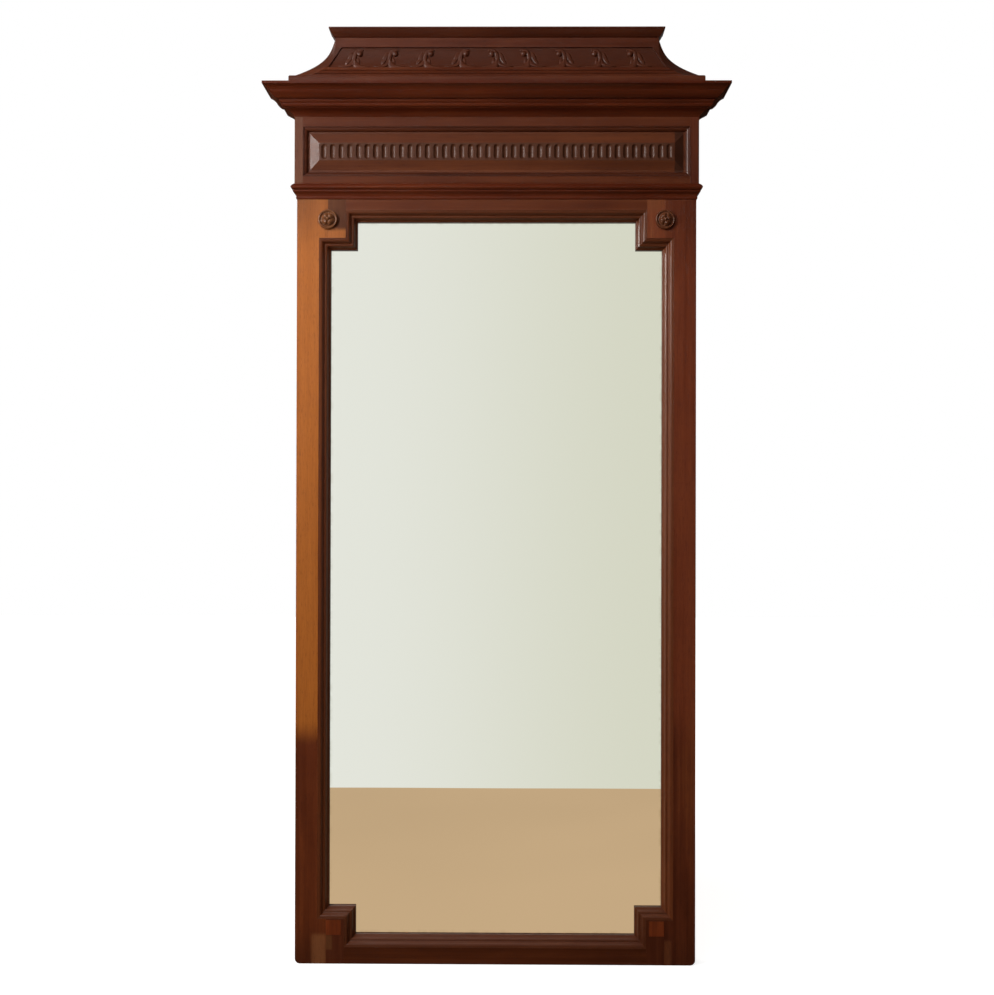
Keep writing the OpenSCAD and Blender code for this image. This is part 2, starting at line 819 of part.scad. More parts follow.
module cornice_left() {
    color(walnut) mirror([1, 0, 0])
        side_run(cornice_section, inner_half, frieze_back, cornice_reach, frieze_z1, cornice_z1);
}

// Three-cornered blocks glued under the dust board and behind the cornice
module glue_blocks() {
    leg = 16;
    block_l = 60;
    color(pine) for (x = [-1.5, -0.5, 0.5, 1.5] * inner_half / 2)
        translate([x - block_l / 2, 0, 0]) rotate([90, 0, 90]) linear_extrude(block_l)
            polygon([[-frieze_back, dust_z], [-frieze_back, dust_z - leg], [leg - frieze_back, dust_z]]);
}

module battens() {
    color(pine) both_sides() difference() {
        board([batten_x - batten_w / 2, batten_x + batten_w / 2], [0, batten_t], [batten_z0, cornice_z1]);
        from_back(batten_screws) screw(carcass_screw, fit);
    }
}

module carcass_screws() {
    color(steel) carcass_screw_places() slotted_screw(carcass_screw);
}

// Outer edge of the plinth as [out, height] points, its upper corner an ovolo
function plinth_edge(out) = concat(
    [[out, cornice_z1]],
    swell([out, plinth_z1 - plinth_round], [out - plinth_round, plinth_z1], 1.2));

function left_of(points) = [for (i = [len(points) - 1:-1:0]) [-points[i][0], points[i][1]]];

module crest_plinth() {
    color(walnut) difference() {
        intersection() {
            along_x(concat([[0, cornice_z1]], plinth_edge(plinth_d), [[0, plinth_z1]]), plinth_half);
            elevation(concat(plinth_edge(plinth_half), left_of(plinth_edge(plinth_half))), plinth_d);
        }
        carcass_screw_places() screw(carcass_screw, fit);
    }
}

// Hollow line from a fillet at the foot up to the neck: part of it leans straight, the rest flares
neck_z = crest_z1 - neck_h;
face_fillet = 2;
side_fillet = 11;
cove_steps = 16;
function hollow(foot, neck, fillet, z1, leaning, power) = concat([[foot, plinth_z1]],
    [for (i = [0:cove_steps]) let (z0 = plinth_z1 + fillet, t = 1 - i / cove_steps)
    [neck + (foot - neck) * (leaning * t + (1 - leaning) * pow(t, power)), z1 - (z1 - z0) * t]]);

// Outline of the crest from the front, with its scroll-cut ends
module crest_outline(depth) {
    side = concat(hollow(foot_half, neck_half, side_fillet, neck_z, 0.29, 3.7), [[neck_half, crest_z1]]);
    elevation(concat(side, left_of(side)), depth);
}

// Face of the front board as [depth, height] points, set back by o
function crest_face(o) = [for (p = concat(hollow(foot_d, neck_d, face_fillet, crest_z1 - band_h, 0.1, 3),
    [[neck_d, crest_z1]])) [p[0] - o, p[1]]];

// The two ends are canted back. The arris between face and cant starts at the neck's corner and runs
// out to arris_foot at the bottom, so the cant's own section is the face's, stretched to meet it there.
arris_foot = foot_half - 46;
cant_angle = 28;
cant_face = [for (p = crest_face(0))
    let (x = neck_half + (arris_foot - neck_half) * (p[0] - neck_d) / (foot_d - neck_d))
    [p[0] * cos(cant_angle) + x * sin(cant_angle), p[1]]];

// Everything behind the face and the cants, from the wall forwards
module crest_body() {
    reach = 2 * plinth_half;
    intersection() {
        along_x(concat([[0, plinth_z1]], crest_face(0), [[0, crest_z1]]), plinth_half);
        both_ways(cant_angle)
            along_x(concat([[-reach, plinth_z1]], cant_face, [[-reach, crest_z1]]), reach);
        crest_outline(plinth_d);
    }
}

// What the child leaves when it is turned to the right and to the left about the origin
module both_ways(angle) {
    intersection() {
        rotate([0, 0, angle]) children();
        rotate([0, 0, -angle]) children();
    }
}

// The space in front of the face set back by o, between two heights
module before_face(o, z0, z1) {
    intersection() {
        along_x(concat([[plinth_d + cut, plinth_z1]], crest_face(o), [[plinth_d + cut, crest_z1]]),
            plinth_half);
        board([-plinth_half, plinth_half], [0, plinth_d], [z0, z1]);
    }
}

// Outline with leaning ends of the sunk panel
lean = 0.62;
module leaning_field(z0, z1, depth) {
    x0 = sunk_half + (sunk_z1 - z0) * lean;
    x1 = sunk_half + (sunk_z1 - z1) * lean;
    elevation([[-x0, z0], [x0, z0], [x1, z1], [-x1, z1]], depth);
}

quirks = [[2.6, 6.8], [10.8, 14.6]];
quirk_t = 2;
module crest_front() {
    color(walnut_dark) difference() {
        intersection() {
            crest_body();
            board([-plinth_half, plinth_half], [crest_back_d, plinth_d], [plinth_z1, crest_z1]);
        }
        intersection() {
            leaning_field(sunk_z0, sunk_z1, plinth_d);
            before_face(sink_t, sunk_z0, sunk_z1);
        }
        for (q = quirks) before_face(quirk_t, plinth_z1 + q[0], plinth_z1 + q[1]);
    }
}

module crest_end() {
    color(walnut_dark) intersection() {
        crest_body();
        board([neck_half - end_w, plinth_half], [0, crest_back_d], [plinth_z1, crest_z1]);
    }
}

module crest_right_end() {
    crest_end();
}

module crest_left_end() {
    mirror([1, 0, 0]) crest_end();
}

// One scroll of the running pattern in outline: a root that sweeps in low from the left, a foot on the
// right, a leaning stem, a curled head with its eye, and two lobes of a leaf
module scroll_outline() {
    scale(scroll_h / 36) difference() {
        union() {
            polygon(concat(
                [[-28, 0], [14, 0]],
                swell([14, 0.5], [4.4, 10], 1.8),
                swell([4, 11], [7, 22], 1.2),
                swell([2.4, 32], [-4.8, 20], -2),
                swell([-4.8, 19], [-5.6, 9.5], -0.6),
                swell([-6.4, 8.4], [-28, 1.2], 2.4)));
            translate([4.2, 28.4]) circle(r = 7.6);
            translate([-8, 18.8]) circle(r = 4.6);
            translate([-9.8, 12.8]) circle(r = 3.8);
        }
        translate([3, 23.4]) circle(r = 1.9);
        translate([9.9, 21.6]) circle(r = 2.1);
    }
}

// The row of scrolls glued to the sunk panel, their backs and fronts following its hollow. Those on the
// left curl to the right, the middle one and those on the right curl to the left
module crest_carving() {
    last = (scroll_count - 1) / 2;
    color(walnut_dark) difference() {
        intersection() {
            rotate([90, 0, 0]) linear_extrude(plinth_d) for (i = [-last:last])
                translate([i * scroll_pitch, sunk_z0])
                    if (i < 0) scroll_outline(); else mirror([1, 0, 0]) scroll_outline();
            before_face(sink_t, sunk_z0, sunk_z1);
        }
        before_face(sink_t - scroll_rise, plinth_z1, crest_z1);
    }
}

// Section of the cap, from the inner face of its strips; its lip hangs before the front board's top
cap_lip = 2.6;
cap_section = concat(
    [[0, crest_z1], [cap_in, crest_z1], [cap_in, crest_z1 - cap_lip]],
    [for (p = fitted(concat(
        swell([0.8, 0.2], [4.4, 4.2], 0.4, 4),
        swell([4.8, 4.4], [11.6, 15.2], 0.5),
        [[12.4, 15.6], [13, 16.4], [13, 19], [12.4, 19.6]]), cap_proj, cap_h + cap_lip))
        [p[0] + cap_in, p[1] + crest_z1 - cap_lip]],
    [[0, crest_z1 + cap_h]]);

cap_reach = cap_in + cap_proj + 5;
cap_half = neck_half - cap_in;
cap_d = neck_d - cap_in;
cap_z0 = crest_z1 - cap_lip;
cap_z1 = crest_z1 + cap_h;

module crest_cap_front() {
    color(walnut_dark) front_run(cap_section, cap_half, cap_d, cap_reach, cap_z0, cap_z1);
}

module crest_cap_right() {
    color(walnut_dark) side_run(cap_section, cap_half, cap_d, cap_reach, cap_z0, cap_z1);
}

module crest_cap_left() {
    color(walnut_dark) mirror([1, 0, 0])
        side_run(cap_section, cap_half, cap_d, cap_reach, cap_z0, cap_z1);
}

module crest_top_board() {
    color(pine) board([-cap_half, cap_half], [0, cap_d], [crest_z1, crest_z1 + shelf_t]);
}

module crest_back_board() {
    board_d = 1;
    color(pine) board([end_w - neck_half, neck_half - end_w], [board_d, board_d + backboard_t],
        [plinth_z1, crest_z1]);
}

// Screws of the hanger plates: one inside the ring's loop and one below it
module hanger_screw_places() {
    both_sides() for (drop = [11, 24]) translate([hanger_x, plate_t - hang_d, eye_z - drop])
        rotate([90, 0, 0]) children();
}

// A strap with a rolled eye at its upper end
module hanger_plates() {
    eye_out = eye_r + eye_wall;
    color(brass) both_sides() difference() {
        union() {
            board([hanger_x - plate_w / 2, hanger_x + plate_w / 2], [hang_d - plate_t, hang_d],
                [eye_z - plate_l, eye_z - eye_out]);
            board([hanger_x - eye_w / 2, hanger_x + eye_w / 2], [hang_d - plate_t, hang_d],
                [eye_z - eye_out - cut, eye_z]);
            translate([hanger_x - eye_w / 2, -eye_d, eye_z]) rotate([0, 90, 0])
                cylinder(h = eye_w, r = eye_out);
        }
        translate([hanger_x - plate_w, -eye_d, eye_z]) rotate([0, 90, 0])
            cylinder(h = 2 * plate_w, r = eye_r);
        hanger_screw_places() screw(hanger_screw, fit);
    }
}

// D-ring: a straight bar in the eye, two short legs and a half round below, hanging down
module ring() {
    translate([hanger_x, -eye_d, eye_z]) {
        translate([-ring_r, 0, 0]) rotate([0, 90, 0]) cylinder(h = 2 * ring_r, r = wire_r);
        for (side = [-1, 1]) translate([side * ring_r, 0, 0]) {
            sphere(r = wire_r);
            translate([0, 0, -ring_leg]) cylinder(h = ring_leg, r = wire_r);
        }
        translate([0, 0, -ring_leg]) rotate([90, 180, 0])
            rotate_extrude(angle = 180) translate([ring_r, 0]) circle(r = wire_r);
    }
}

module right_ring() {
    color(brass) ring();
}

module left_ring() {
    color(brass) mirror([1, 0, 0]) ring();
}

module hanger_screws() {
    color(brass) hanger_screw_places() slotted_screw(hanger_screw);
}

left_stile();
right_stile();
top_rail();
bottom_rail();
upper_left_block();
upper_right_block();
lower_left_block();
lower_right_block();
corner_tiles();
left_sight_moulding();
right_sight_moulding();
top_sight_moulding();
bottom_sight_moulding();
upper_left_notch_moulding();
upper_right_notch_moulding();
lower_left_notch_moulding();
lower_right_notch_moulding();
left_rosette();
right_rosette();
mirror_glass();
silvering();
glazing_blocks();
left_backboard();
middle_backboard();
right_backboard();
backboard_screws();
architrave_front();
architrave_left();
architrave_right();
frieze_left_stile();
frieze_right_stile();
frieze_top_rail();
frieze_bottom_rail();
frieze_panel();
frieze_beads();
frieze_left_side();
frieze_right_side();
base_board();
hanging_rail();
cornice_front();
cornice_left();
cornice_right();
dust_board();
glue_blocks();
battens();
carcass_screws();
crest_plinth();
crest_front();
crest_left_end();
crest_right_end();
crest_carving();
crest_cap_front();
crest_cap_left();
crest_cap_right();
crest_top_board();
crest_back_board();
hanger_plates();
left_ring();
right_ring();
hanger_screws();
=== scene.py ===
"""Trumeau mirror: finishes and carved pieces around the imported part, its studio and camera."""

import logging
import math
from dataclasses import dataclass, field
from enum import Enum
from typing import Callable, Iterable, Sequence

import bpy
from mathutils import Matrix, Vector


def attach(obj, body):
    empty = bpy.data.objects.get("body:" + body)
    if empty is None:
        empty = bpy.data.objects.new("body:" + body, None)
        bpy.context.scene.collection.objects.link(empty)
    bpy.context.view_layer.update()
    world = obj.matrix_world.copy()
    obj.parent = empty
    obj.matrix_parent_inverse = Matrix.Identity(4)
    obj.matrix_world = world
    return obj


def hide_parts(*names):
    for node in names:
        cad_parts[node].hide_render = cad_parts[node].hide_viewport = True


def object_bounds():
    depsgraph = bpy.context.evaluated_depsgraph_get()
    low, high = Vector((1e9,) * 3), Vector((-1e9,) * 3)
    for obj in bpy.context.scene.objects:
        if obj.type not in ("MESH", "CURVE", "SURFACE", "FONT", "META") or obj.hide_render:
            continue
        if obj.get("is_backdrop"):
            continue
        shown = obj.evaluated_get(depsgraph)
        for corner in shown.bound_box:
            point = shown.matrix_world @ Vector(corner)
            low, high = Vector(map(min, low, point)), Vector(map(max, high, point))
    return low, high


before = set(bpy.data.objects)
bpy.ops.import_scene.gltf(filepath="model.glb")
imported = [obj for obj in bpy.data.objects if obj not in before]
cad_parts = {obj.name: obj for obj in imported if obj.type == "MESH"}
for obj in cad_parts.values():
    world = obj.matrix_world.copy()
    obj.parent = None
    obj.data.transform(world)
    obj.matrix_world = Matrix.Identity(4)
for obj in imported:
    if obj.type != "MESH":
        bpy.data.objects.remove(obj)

log = logging.getLogger("trumeau_mirror")

Colour = tuple[float, float, float]
Point = tuple[float, float, float]
Place = tuple[float, float]
Chart = tuple[int, int, int]
Material = bpy.types.Material
Node = bpy.types.Node
Socket = bpy.types.NodeSocket
Thing = bpy.types.Object

WHITE: Colour = (1.0, 1.0, 1.0)
RING: tuple[tuple[int, int], ...] = ((-1, -1), (1, -1), (1, 1), (-1, 1))
MIX_SHARE, MIX_UNDER, MIX_OVER, MIX_RESULT = 0, 6, 7, 2


def shade(red: int, green: int, blue: int) -> Colour:
    """Turns a colour as a paint chart gives it, 0 to 255, into linear light.

    Args:
        red: red part.
        green: green part.
        blue: blue part.

    Returns:
        The same colour as three linear numbers.
    """
    def part(value: int) -> float:
        """Gives one channel in linear light."""
        v = value / 255
        return v / 12.92 if v <= 0.04045 else ((v + 0.055) / 1.055) ** 2.4
    return part(red), part(green), part(blue)


def shades(charts: Iterable[Chart]) -> tuple[Colour, ...]:
    """Turns a row of paint-chart colours into linear light."""
    return tuple(shade(*chart) for chart in charts)


def dimmed(colour: Colour, share: float) -> Colour:
    """Gives a share of a colour's light."""
    return tuple(share * part for part in colour)


def between(value: float, low: float, high: float) -> float:
    """Gives a smooth step from 0 at low to 1 at high."""
    t = min(1.0, max(0.0, (value - low) / (high - low)))
    return t * t * (3 - 2 * t)


class Sketch:
    """A shader node tree, built one named step at a time."""

    def __init__(self, tree: bpy.types.NodeTree, output: str) -> None:
        """Empties a tree and gives it its output.

        Args:
            tree: the node tree.
            output: kind of its output node.
        """
        self.tree = tree
        self.tree.nodes.clear()
        self.output = self.add(output)

    def feed(self, target: Socket, value: object) -> None:
        """Sets a socket from a constant, or joins it to another socket.

        Args:
            target: the socket to fill.
            value: a socket, a number, or a colour.
        """
        if isinstance(value, Socket):
            self.tree.links.new(value, target)
        elif isinstance(value, tuple) and len(value) == 3 and target.type == "RGBA":
            target.default_value = (*value, 1.0)
        else:
            target.default_value = value

    def add(self, kind: str, inputs: dict[str | int, object] | None = None,
            **settings: object) -> Node:
        """Adds one node.

        Args:
            kind: the node's type, without the word that all of them begin with.
            inputs: what its sockets get, by their names or numbers.
            settings: its own properties.

        Returns:
            The node.
        """
        node = self.tree.nodes.new("ShaderNode" + kind)
        for name, value in settings.items():
            setattr(node, name, value)
        for key, value in (inputs or {}).items():
            self.feed(node.inputs[key], value)
        return node

    def end(self, last: Node) -> None:
        """Joins the last shader to the output."""
        self.feed(self.output.inputs["Surface"], last.outputs[0])

    def place(self, stretch: Point | float = 1.0, shift: Point = (0.0, 0.0, 0.0)) -> Socket:
        """Gives the piece's own coordinates, stretched and shifted.

        Args:
            stretch: how many pattern lengths there are in a metre, along each axis or along all.
            shift: what is added after the stretch.

        Returns:
            The vector socket.
        """
        scale = stretch if isinstance(stretch, tuple) else (stretch, stretch, stretch)
        own = self.add("TexCoord").outputs["Object"]
        mapping = self.add("Mapping", {"Vector": own, "Scale": scale, "Location": shift})
        return mapping.outputs["Vector"]

    def noise(self, stretch: Point | float, detail: float, rough: float = 0.5, warp: float = 0.0,
              shift: Point = (0.0, 0.0, 0.0)) -> Socket:
        """Adds fractal noise.

        Args:
            stretch: how many pattern lengths there are in a metre.
            detail: how many finer layers it has.
            rough: how strong the finer layers are.
            warp: how far it is distorted.
            shift: where in the pattern the piece lies.

        Returns:
            The socket of its strength, about 0.5 on average.
        """
        return self.add("TexNoise", {
            "Vector": self.place(stretch, shift), "Scale": 1.0, "Detail": detail,
            "Roughness": rough, "Distortion": warp}).outputs["Fac"]

    def ramp(self, strength: Socket, stops: Sequence[tuple[float, Colour]]) -> Socket:
        """Turns a strength into a colour by a row of stops.

        Args:
            strength: what is looked up.
            stops: places from 0 to 1 with their colours.

        Returns:
            The colour socket.
        """
        node = self.add("ValToRGB", {"Fac": strength})
        elements = node.color_ramp.elements
        while len(elements) < len(stops):
            elements.new(0.5)
        for element, (place, colour) in zip(elements, stops):
            element.position = place
            element.color = (*colour, 1.0)
        return node.outputs["Color"]

    def span(self, value: Socket, low: float, high: float, out_low: float = 0.0,
             out_high: float = 1.0) -> Socket:
        """Maps one range of numbers on another, smoothly and with fixed ends.

        Args:
            value: the number read.
            low: where the range begins.
            high: where it ends.
            out_low: what the beginning gives.
            out_high: what the end gives.

        Returns:
            The result's socket.
        """
        return self.add("MapRange", {
            "Value": value, "From Min": low, "From Max": high, "To Min": out_low,
            "To Max": out_high}, interpolation_type="SMOOTHSTEP").outputs["Result"]

    def sum(self, kind: str, first: object, second: object) -> Socket:
        """Combines two numbers, sockets or constants, by a math node's operation."""
        return self.add("Math", {0: first, 1: second}, operation=kind).outputs[0]

    def total(self, *terms: tuple[Socket, float]) -> Socket:
        """Adds numbers up, each times its weight.

        Args:
            terms: the numbers' sockets with their weights.

        Returns:
            The result's socket.
        """
        parts = [value if weight == 1.0 else self.sum("MULTIPLY", value, weight)
                 for value, weight in terms]
        result = parts[0]
        for part in parts[1:]:
            result = self.sum("ADD", result, part)
        return result

    def blend(self, share: object, under: object, over: object, kind: str = "MIX") -> Socket:
        """Mixes two colours; share says how much of the second shows."""
        return self.add("Mix", {MIX_SHARE: share, MIX_UNDER: under, MIX_OVER: over},
                        data_type="RGBA", blend_type=kind).outputs[MIX_RESULT]

    def tint(self, under: Socket, over: Colour, pattern: Socket, low: float, high: float,
             out_low: float, out_high: float) -> Socket:
        """Multiplies a colour in, as strongly as the span of a pattern says."""
        return self.blend(self.span(pattern, low, high, out_low, out_high), under, over, "MULTIPLY")

    def mix(self, share: Socket, under: Node, over: Node) -> Node:
        """Mixes two shaders; share says how much of the second shows."""
        return self.add("MixShader", {0: share, 1: under.outputs[0], 2: over.outputs[0]})

    def part_of(self, vector: Socket, axis: int) -> Socket:
        """Gives one coordinate of a vector, by its number."""
        return self.add("SeparateXYZ", {0: vector}).outputs[axis]

    def inside(self, low: Place, high: Place, soft: float) -> Socket:
        """Marks an upright rectangle in the piece's own coordinates.

        Args:
            low: lowest corner across and up, in metres.
            high: highest corner.
            soft: how wide its edge fades.

        Returns:
            A socket that is 1 inside and 0 outside.
        """
        where = self.place()
        result: object = 1.0
        for axis, start, stop in zip((0, 2), low, high):
            value = self.part_of(where, axis)
            rise = self.span(value, start - soft, start + soft)
            fall = self.span(value, stop - soft, stop + soft, 1.0, 0.0)
            result = self.sum("MULTIPLY", result, self.sum("MULTIPLY", rise, fall))
        return result

    def crevice(self, reach: float) -> Socket:
        """Gives 1 in the open, falling to 0 in corners that are felt this far, in metres."""
        return self.add("AmbientOcclusion", {"Distance": reach}, samples=4).outputs["AO"]

    def soft_normal(self, radius: float) -> Socket:
        """Rounds the edges as light sees them, by a radius in metres."""
        return self.add("Bevel", {"Radius": radius}, samples=4).outputs["Normal"]

    def own_normal(self) -> Socket:
        """Gives the face's own normal."""
        return self.add("NewGeometry").outputs["True Normal"]

    def facing_back(self) -> Socket:
        """Marks the faces that look at the wall behind the piece."""
        return self.span(self.part_of(self.own_normal(), 1), 0.6, 0.9)

    def rounded_edge(self, normal: Socket) -> Socket:
        """Marks the edges, where the softened normal leans away from the face's own."""
        dot = self.add("VectorMath", {0: normal, 1: self.own_normal()}, operation="DOT_PRODUCT")
        return self.span(dot.outputs["Value"], 1.0, 0.86)

    def relief(self, height: Socket, depth: float, normal: Socket | None = None) -> Socket:
        """Turns a height into a bumped normal.

        Args:
            height: the height pattern, 0 to 1.
            depth: how high 1 stands, in metres.
            normal: the normal it starts from.

        Returns:
            The normal's socket.
        """
        inputs = {"Strength": 1.0, "Distance": depth, "Height": height}
        if normal is not None:
            inputs["Normal"] = normal
        return self.add("Bump", inputs).outputs["Normal"]


class MaterialSketch(Sketch):
    """The node tree of a new material."""

    def __init__(self, name: str) -> None:
        """Makes the material, with an empty tree.

        Args:
            name: the material's name.
        """
        self.material = bpy.data.materials.new(name)
        self.material.use_nodes = True
        super().__init__(self.material.node_tree, "OutputMaterial")

    def coat(self, inputs: dict[str | int, object]) -> Material:
        """Ends the tree in a principled shader with these inputs, and gives the material."""
        self.end(self.add("BsdfPrincipled", inputs))
        return self.material


class Grain(Enum):
    """The axis that the fibres of a board run along."""

    ACROSS = 0
    DEEP = 1
    UPRIGHT = 2


@dataclass(frozen=True)
class Pattern:
    """A noise that runs with the grain: lengths in a metre along and across it, and its make-up."""

    along: float
    across: float
    detail: float
    rough: float = 0.5
    warp: float = 0.0

    def read(self, sketch: Sketch, grain: Grain, shift: Point) -> Socket:
        """Adds the pattern to a tree; shift says where in it the piece lies."""
        stretch = tuple(self.along if axis == grain.value else self.across for axis in range(3))
        return sketch.noise(stretch, self.detail, self.rough, self.warp, shift)


@dataclass(frozen=True)
class ColourPatch:
    """A place, across and up, where a board shows another colour: some are its figure, some are
    painted light and shade.
    """

    low: Place
    high: Place
    colour: Chart
    soft: float = 0.004
    strength: float = 1.0


@dataclass(frozen=True)
class Walnut:
    """Old polished walnut: figure, bands and pores along the grain, quirks darkened as grime and
    painted shade, edges lightened as wear and a painted highlight.

    Its tones are a deep, a middle and a pale one, as a paint chart gives them.
    """

    name: str
    grain: Grain
    tones: tuple[Chart, Chart, Chart]
    seed: float
    polish: float = 0.36
    contrast: float = 1.0
    colour_patches: tuple[ColourPatch, ...] = ()
    # how much the edges are lightened: wear and a painted highlight
    edge_wear_and_highlight: float = 0.3
    # how strongly the hollows are darkened: grime and painted shade
    grime_and_shade: float = 0.62
    bare: Colour = shade(150, 112, 74)
    edge_radius: float = 0.0007
    quirk_reach: float = 0.009
    pore_depth: float = 0.00016

    def make(self) -> Material:
        """Builds the finish.

        Returns:
            The material.
        """
        sketch = MaterialSketch(self.name)
        shift = (self.seed * 3.1, self.seed * 5.7, self.seed * 7.3)
        patterns = (Pattern(2.4, 11.0, 3.0, 0.55, 0.6), Pattern(1.1, 95.0, 4.0, 0.6, 0.35),
                    Pattern(16.0, 720.0, 2.0), Pattern(75.0, 1500.0, 1.0), Pattern(9.0, 34.0, 2.0))
        figure, bands, fibres, pores, mottle = (
            pattern.read(sketch, self.grain, shift) for pattern in patterns)

        deep, tone, pale = shades(self.tones)
        mixed = sketch.total((figure, 0.45), (bands, 0.4), (mottle, 0.15))
        half = 0.16 / self.contrast
        colour = sketch.ramp(mixed, [(0.5 - half, deep), (0.5, tone), (0.5 + half, pale)])
        uneven = sketch.total((bands, 1.0), (figure, 0.5))
        # patches of figure colour, and of painted light and shade, broken by the figure
        for colour_patch in self.colour_patches:
            share = sketch.span(uneven, 0.45, 0.85, 0.72 * colour_patch.strength, colour_patch.strength)
            area = sketch.inside(colour_patch.low, colour_patch.high, colour_patch.soft)
            mask = sketch.sum("MULTIPLY", area, share)
            colour = sketch.blend(mask, colour, shade(*colour_patch.colour))
        sawn = sketch.ramp(mixed, [(0.38, dimmed(self.bare, 0.6)), (0.62, self.bare)])
        colour = sketch.blend(sketch.facing_back(), colour, sawn)
        colour = sketch.tint(colour, (0.62, 0.58, 0.55), fibres, 0.35, 0.7, 0.0, 0.4)
        colour = sketch.tint(colour, (0.3, 0.22, 0.2), pores, 0.62, 0.74, 0.0, 0.55)

        soft = sketch.soft_normal(self.edge_radius)
        edge = sketch.rounded_edge(soft)
        open_air = sketch.crevice(self.quirk_reach)
        # darker in the quirks and hollows, by how closed in they are: grime and painted shade
        colour = sketch.tint(colour, (0.28, 0.2, 0.16), open_air, 0.25, 0.8, self.grime_and_shade, 0.0)
        # the edges lighter in patches: rubbed wear and a painted highlight
        patchy = sketch.sum("MULTIPLY", edge, sketch.span(mottle, 0.35, 0.65))
        wear_and_highlight_share = sketch.sum("MULTIPLY", patchy, self.edge_wear_and_highlight)
        lighter = tuple(min(1.0, part * 1.5 + 0.012) for part in pale)

        gloss = sketch.total(
            (sketch.span(bands, 0.3, 0.7, self.polish - 0.04, self.polish + 0.06), 1.0),
            (sketch.span(pores, 0.55, 0.75, 0.0, 0.2), 1.0),
            (sketch.span(open_air, 0.2, 0.8, 0.25, 0.0), 1.0))
        height = sketch.total((fibres, 0.35), (sketch.span(pores, 0.6, 0.75), -1.0), (mottle, 0.9))
        return sketch.coat({
            "Base Color": sketch.blend(wear_and_highlight_share, colour, lighter), "Roughness": gloss,
            "Specular IOR Level": 0.4, "Coat Weight": 0.15, "Coat Roughness": 0.22,
            "Normal": sketch.relief(height, self.pore_depth, soft)})


@dataclass(frozen=True)
class Pine:
    """Unpolished pine gone brown with age, with wide rings, saw marks, dust, and corners darkened
    as painted shade.
    """

    name: str
    grain: Grain
    seed: float
    pale: Colour = shade(196, 152, 98)
    dark: Colour = shade(140, 94, 52)
    edge_radius: float = 0.0008
    corner_reach: float = 0.03
    saw_depth: float = 0.0003

    def make(self) -> Material:
        """Builds the finish.

        Returns:
            The material.
        """
        sketch = MaterialSketch(self.name)
        shift = (self.seed * 2.3, self.seed * 4.1, self.seed * 6.7)
        patterns = (Pattern(0.9, 42.0, 3.0, 0.6, 0.9), Pattern(12.0, 600.0, 2.0),
                    Pattern(170.0, 9.0, 1.0), Pattern(5.0, 5.0, 4.0, 0.6))
        rings, fibres, saw, stain = (
            pattern.read(sketch, self.grain, shift) for pattern in patterns)
        colour = sketch.ramp(rings, [
            (0.36, self.pale), (0.52, self.dark), (0.56, self.pale), (0.72, self.dark)])
        colour = sketch.tint(colour, (0.66, 0.55, 0.45), fibres, 0.35, 0.7, 0.0, 0.35)
        colour = sketch.tint(colour, (0.5, 0.42, 0.36), stain, 0.45, 0.75, 0.0, 0.55)
        # darker in the corners, by how closed in they are: painted shade
        colour = sketch.tint(
            colour, (0.34, 0.29, 0.25), sketch.crevice(self.corner_reach), 0.2, 0.8, 0.6, 0.0)
        height = sketch.total((saw, 0.5), (fibres, 0.4))
        return sketch.coat({
            "Base Color": colour, "Roughness": sketch.span(stain, 0.3, 0.7, 0.72, 0.9),
            "Specular IOR Level": 0.3,
            "Normal": sketch.relief(height, self.saw_depth, sketch.soft_normal(self.edge_radius))})


@dataclass(frozen=True)
class Metal:
    """Small old ironmongery with a dulled, spotted surface."""

    name: str
    bright: Colour
    dull: Colour
    rough: float
    edge_radius: float = 0.0003
    corner_reach: float = 0.002
    spot_depth: float = 0.00006

    def make(self) -> Material:
        """Builds the finish.

        Returns:
            The material.
        """
        sketch = MaterialSketch(self.name)
        cloud = sketch.noise(160.0, 4.0, 0.6)
        spots = sketch.noise(900.0, 2.0)
        colour = sketch.blend(sketch.span(cloud, 0.4, 0.62), self.bright, self.dull)
        colour = sketch.tint(
            colour, (0.25, 0.2, 0.15), sketch.crevice(self.corner_reach), 0.2, 0.8, 0.7, 0.0)
        return sketch.coat({
            "Base Color": colour, "Metallic": 1.0,
            "Roughness": sketch.span(cloud, 0.35, 0.65, self.rough, self.rough + 0.2),
            "Normal": sketch.relief(spots, self.spot_depth, sketch.soft_normal(self.edge_radius))})


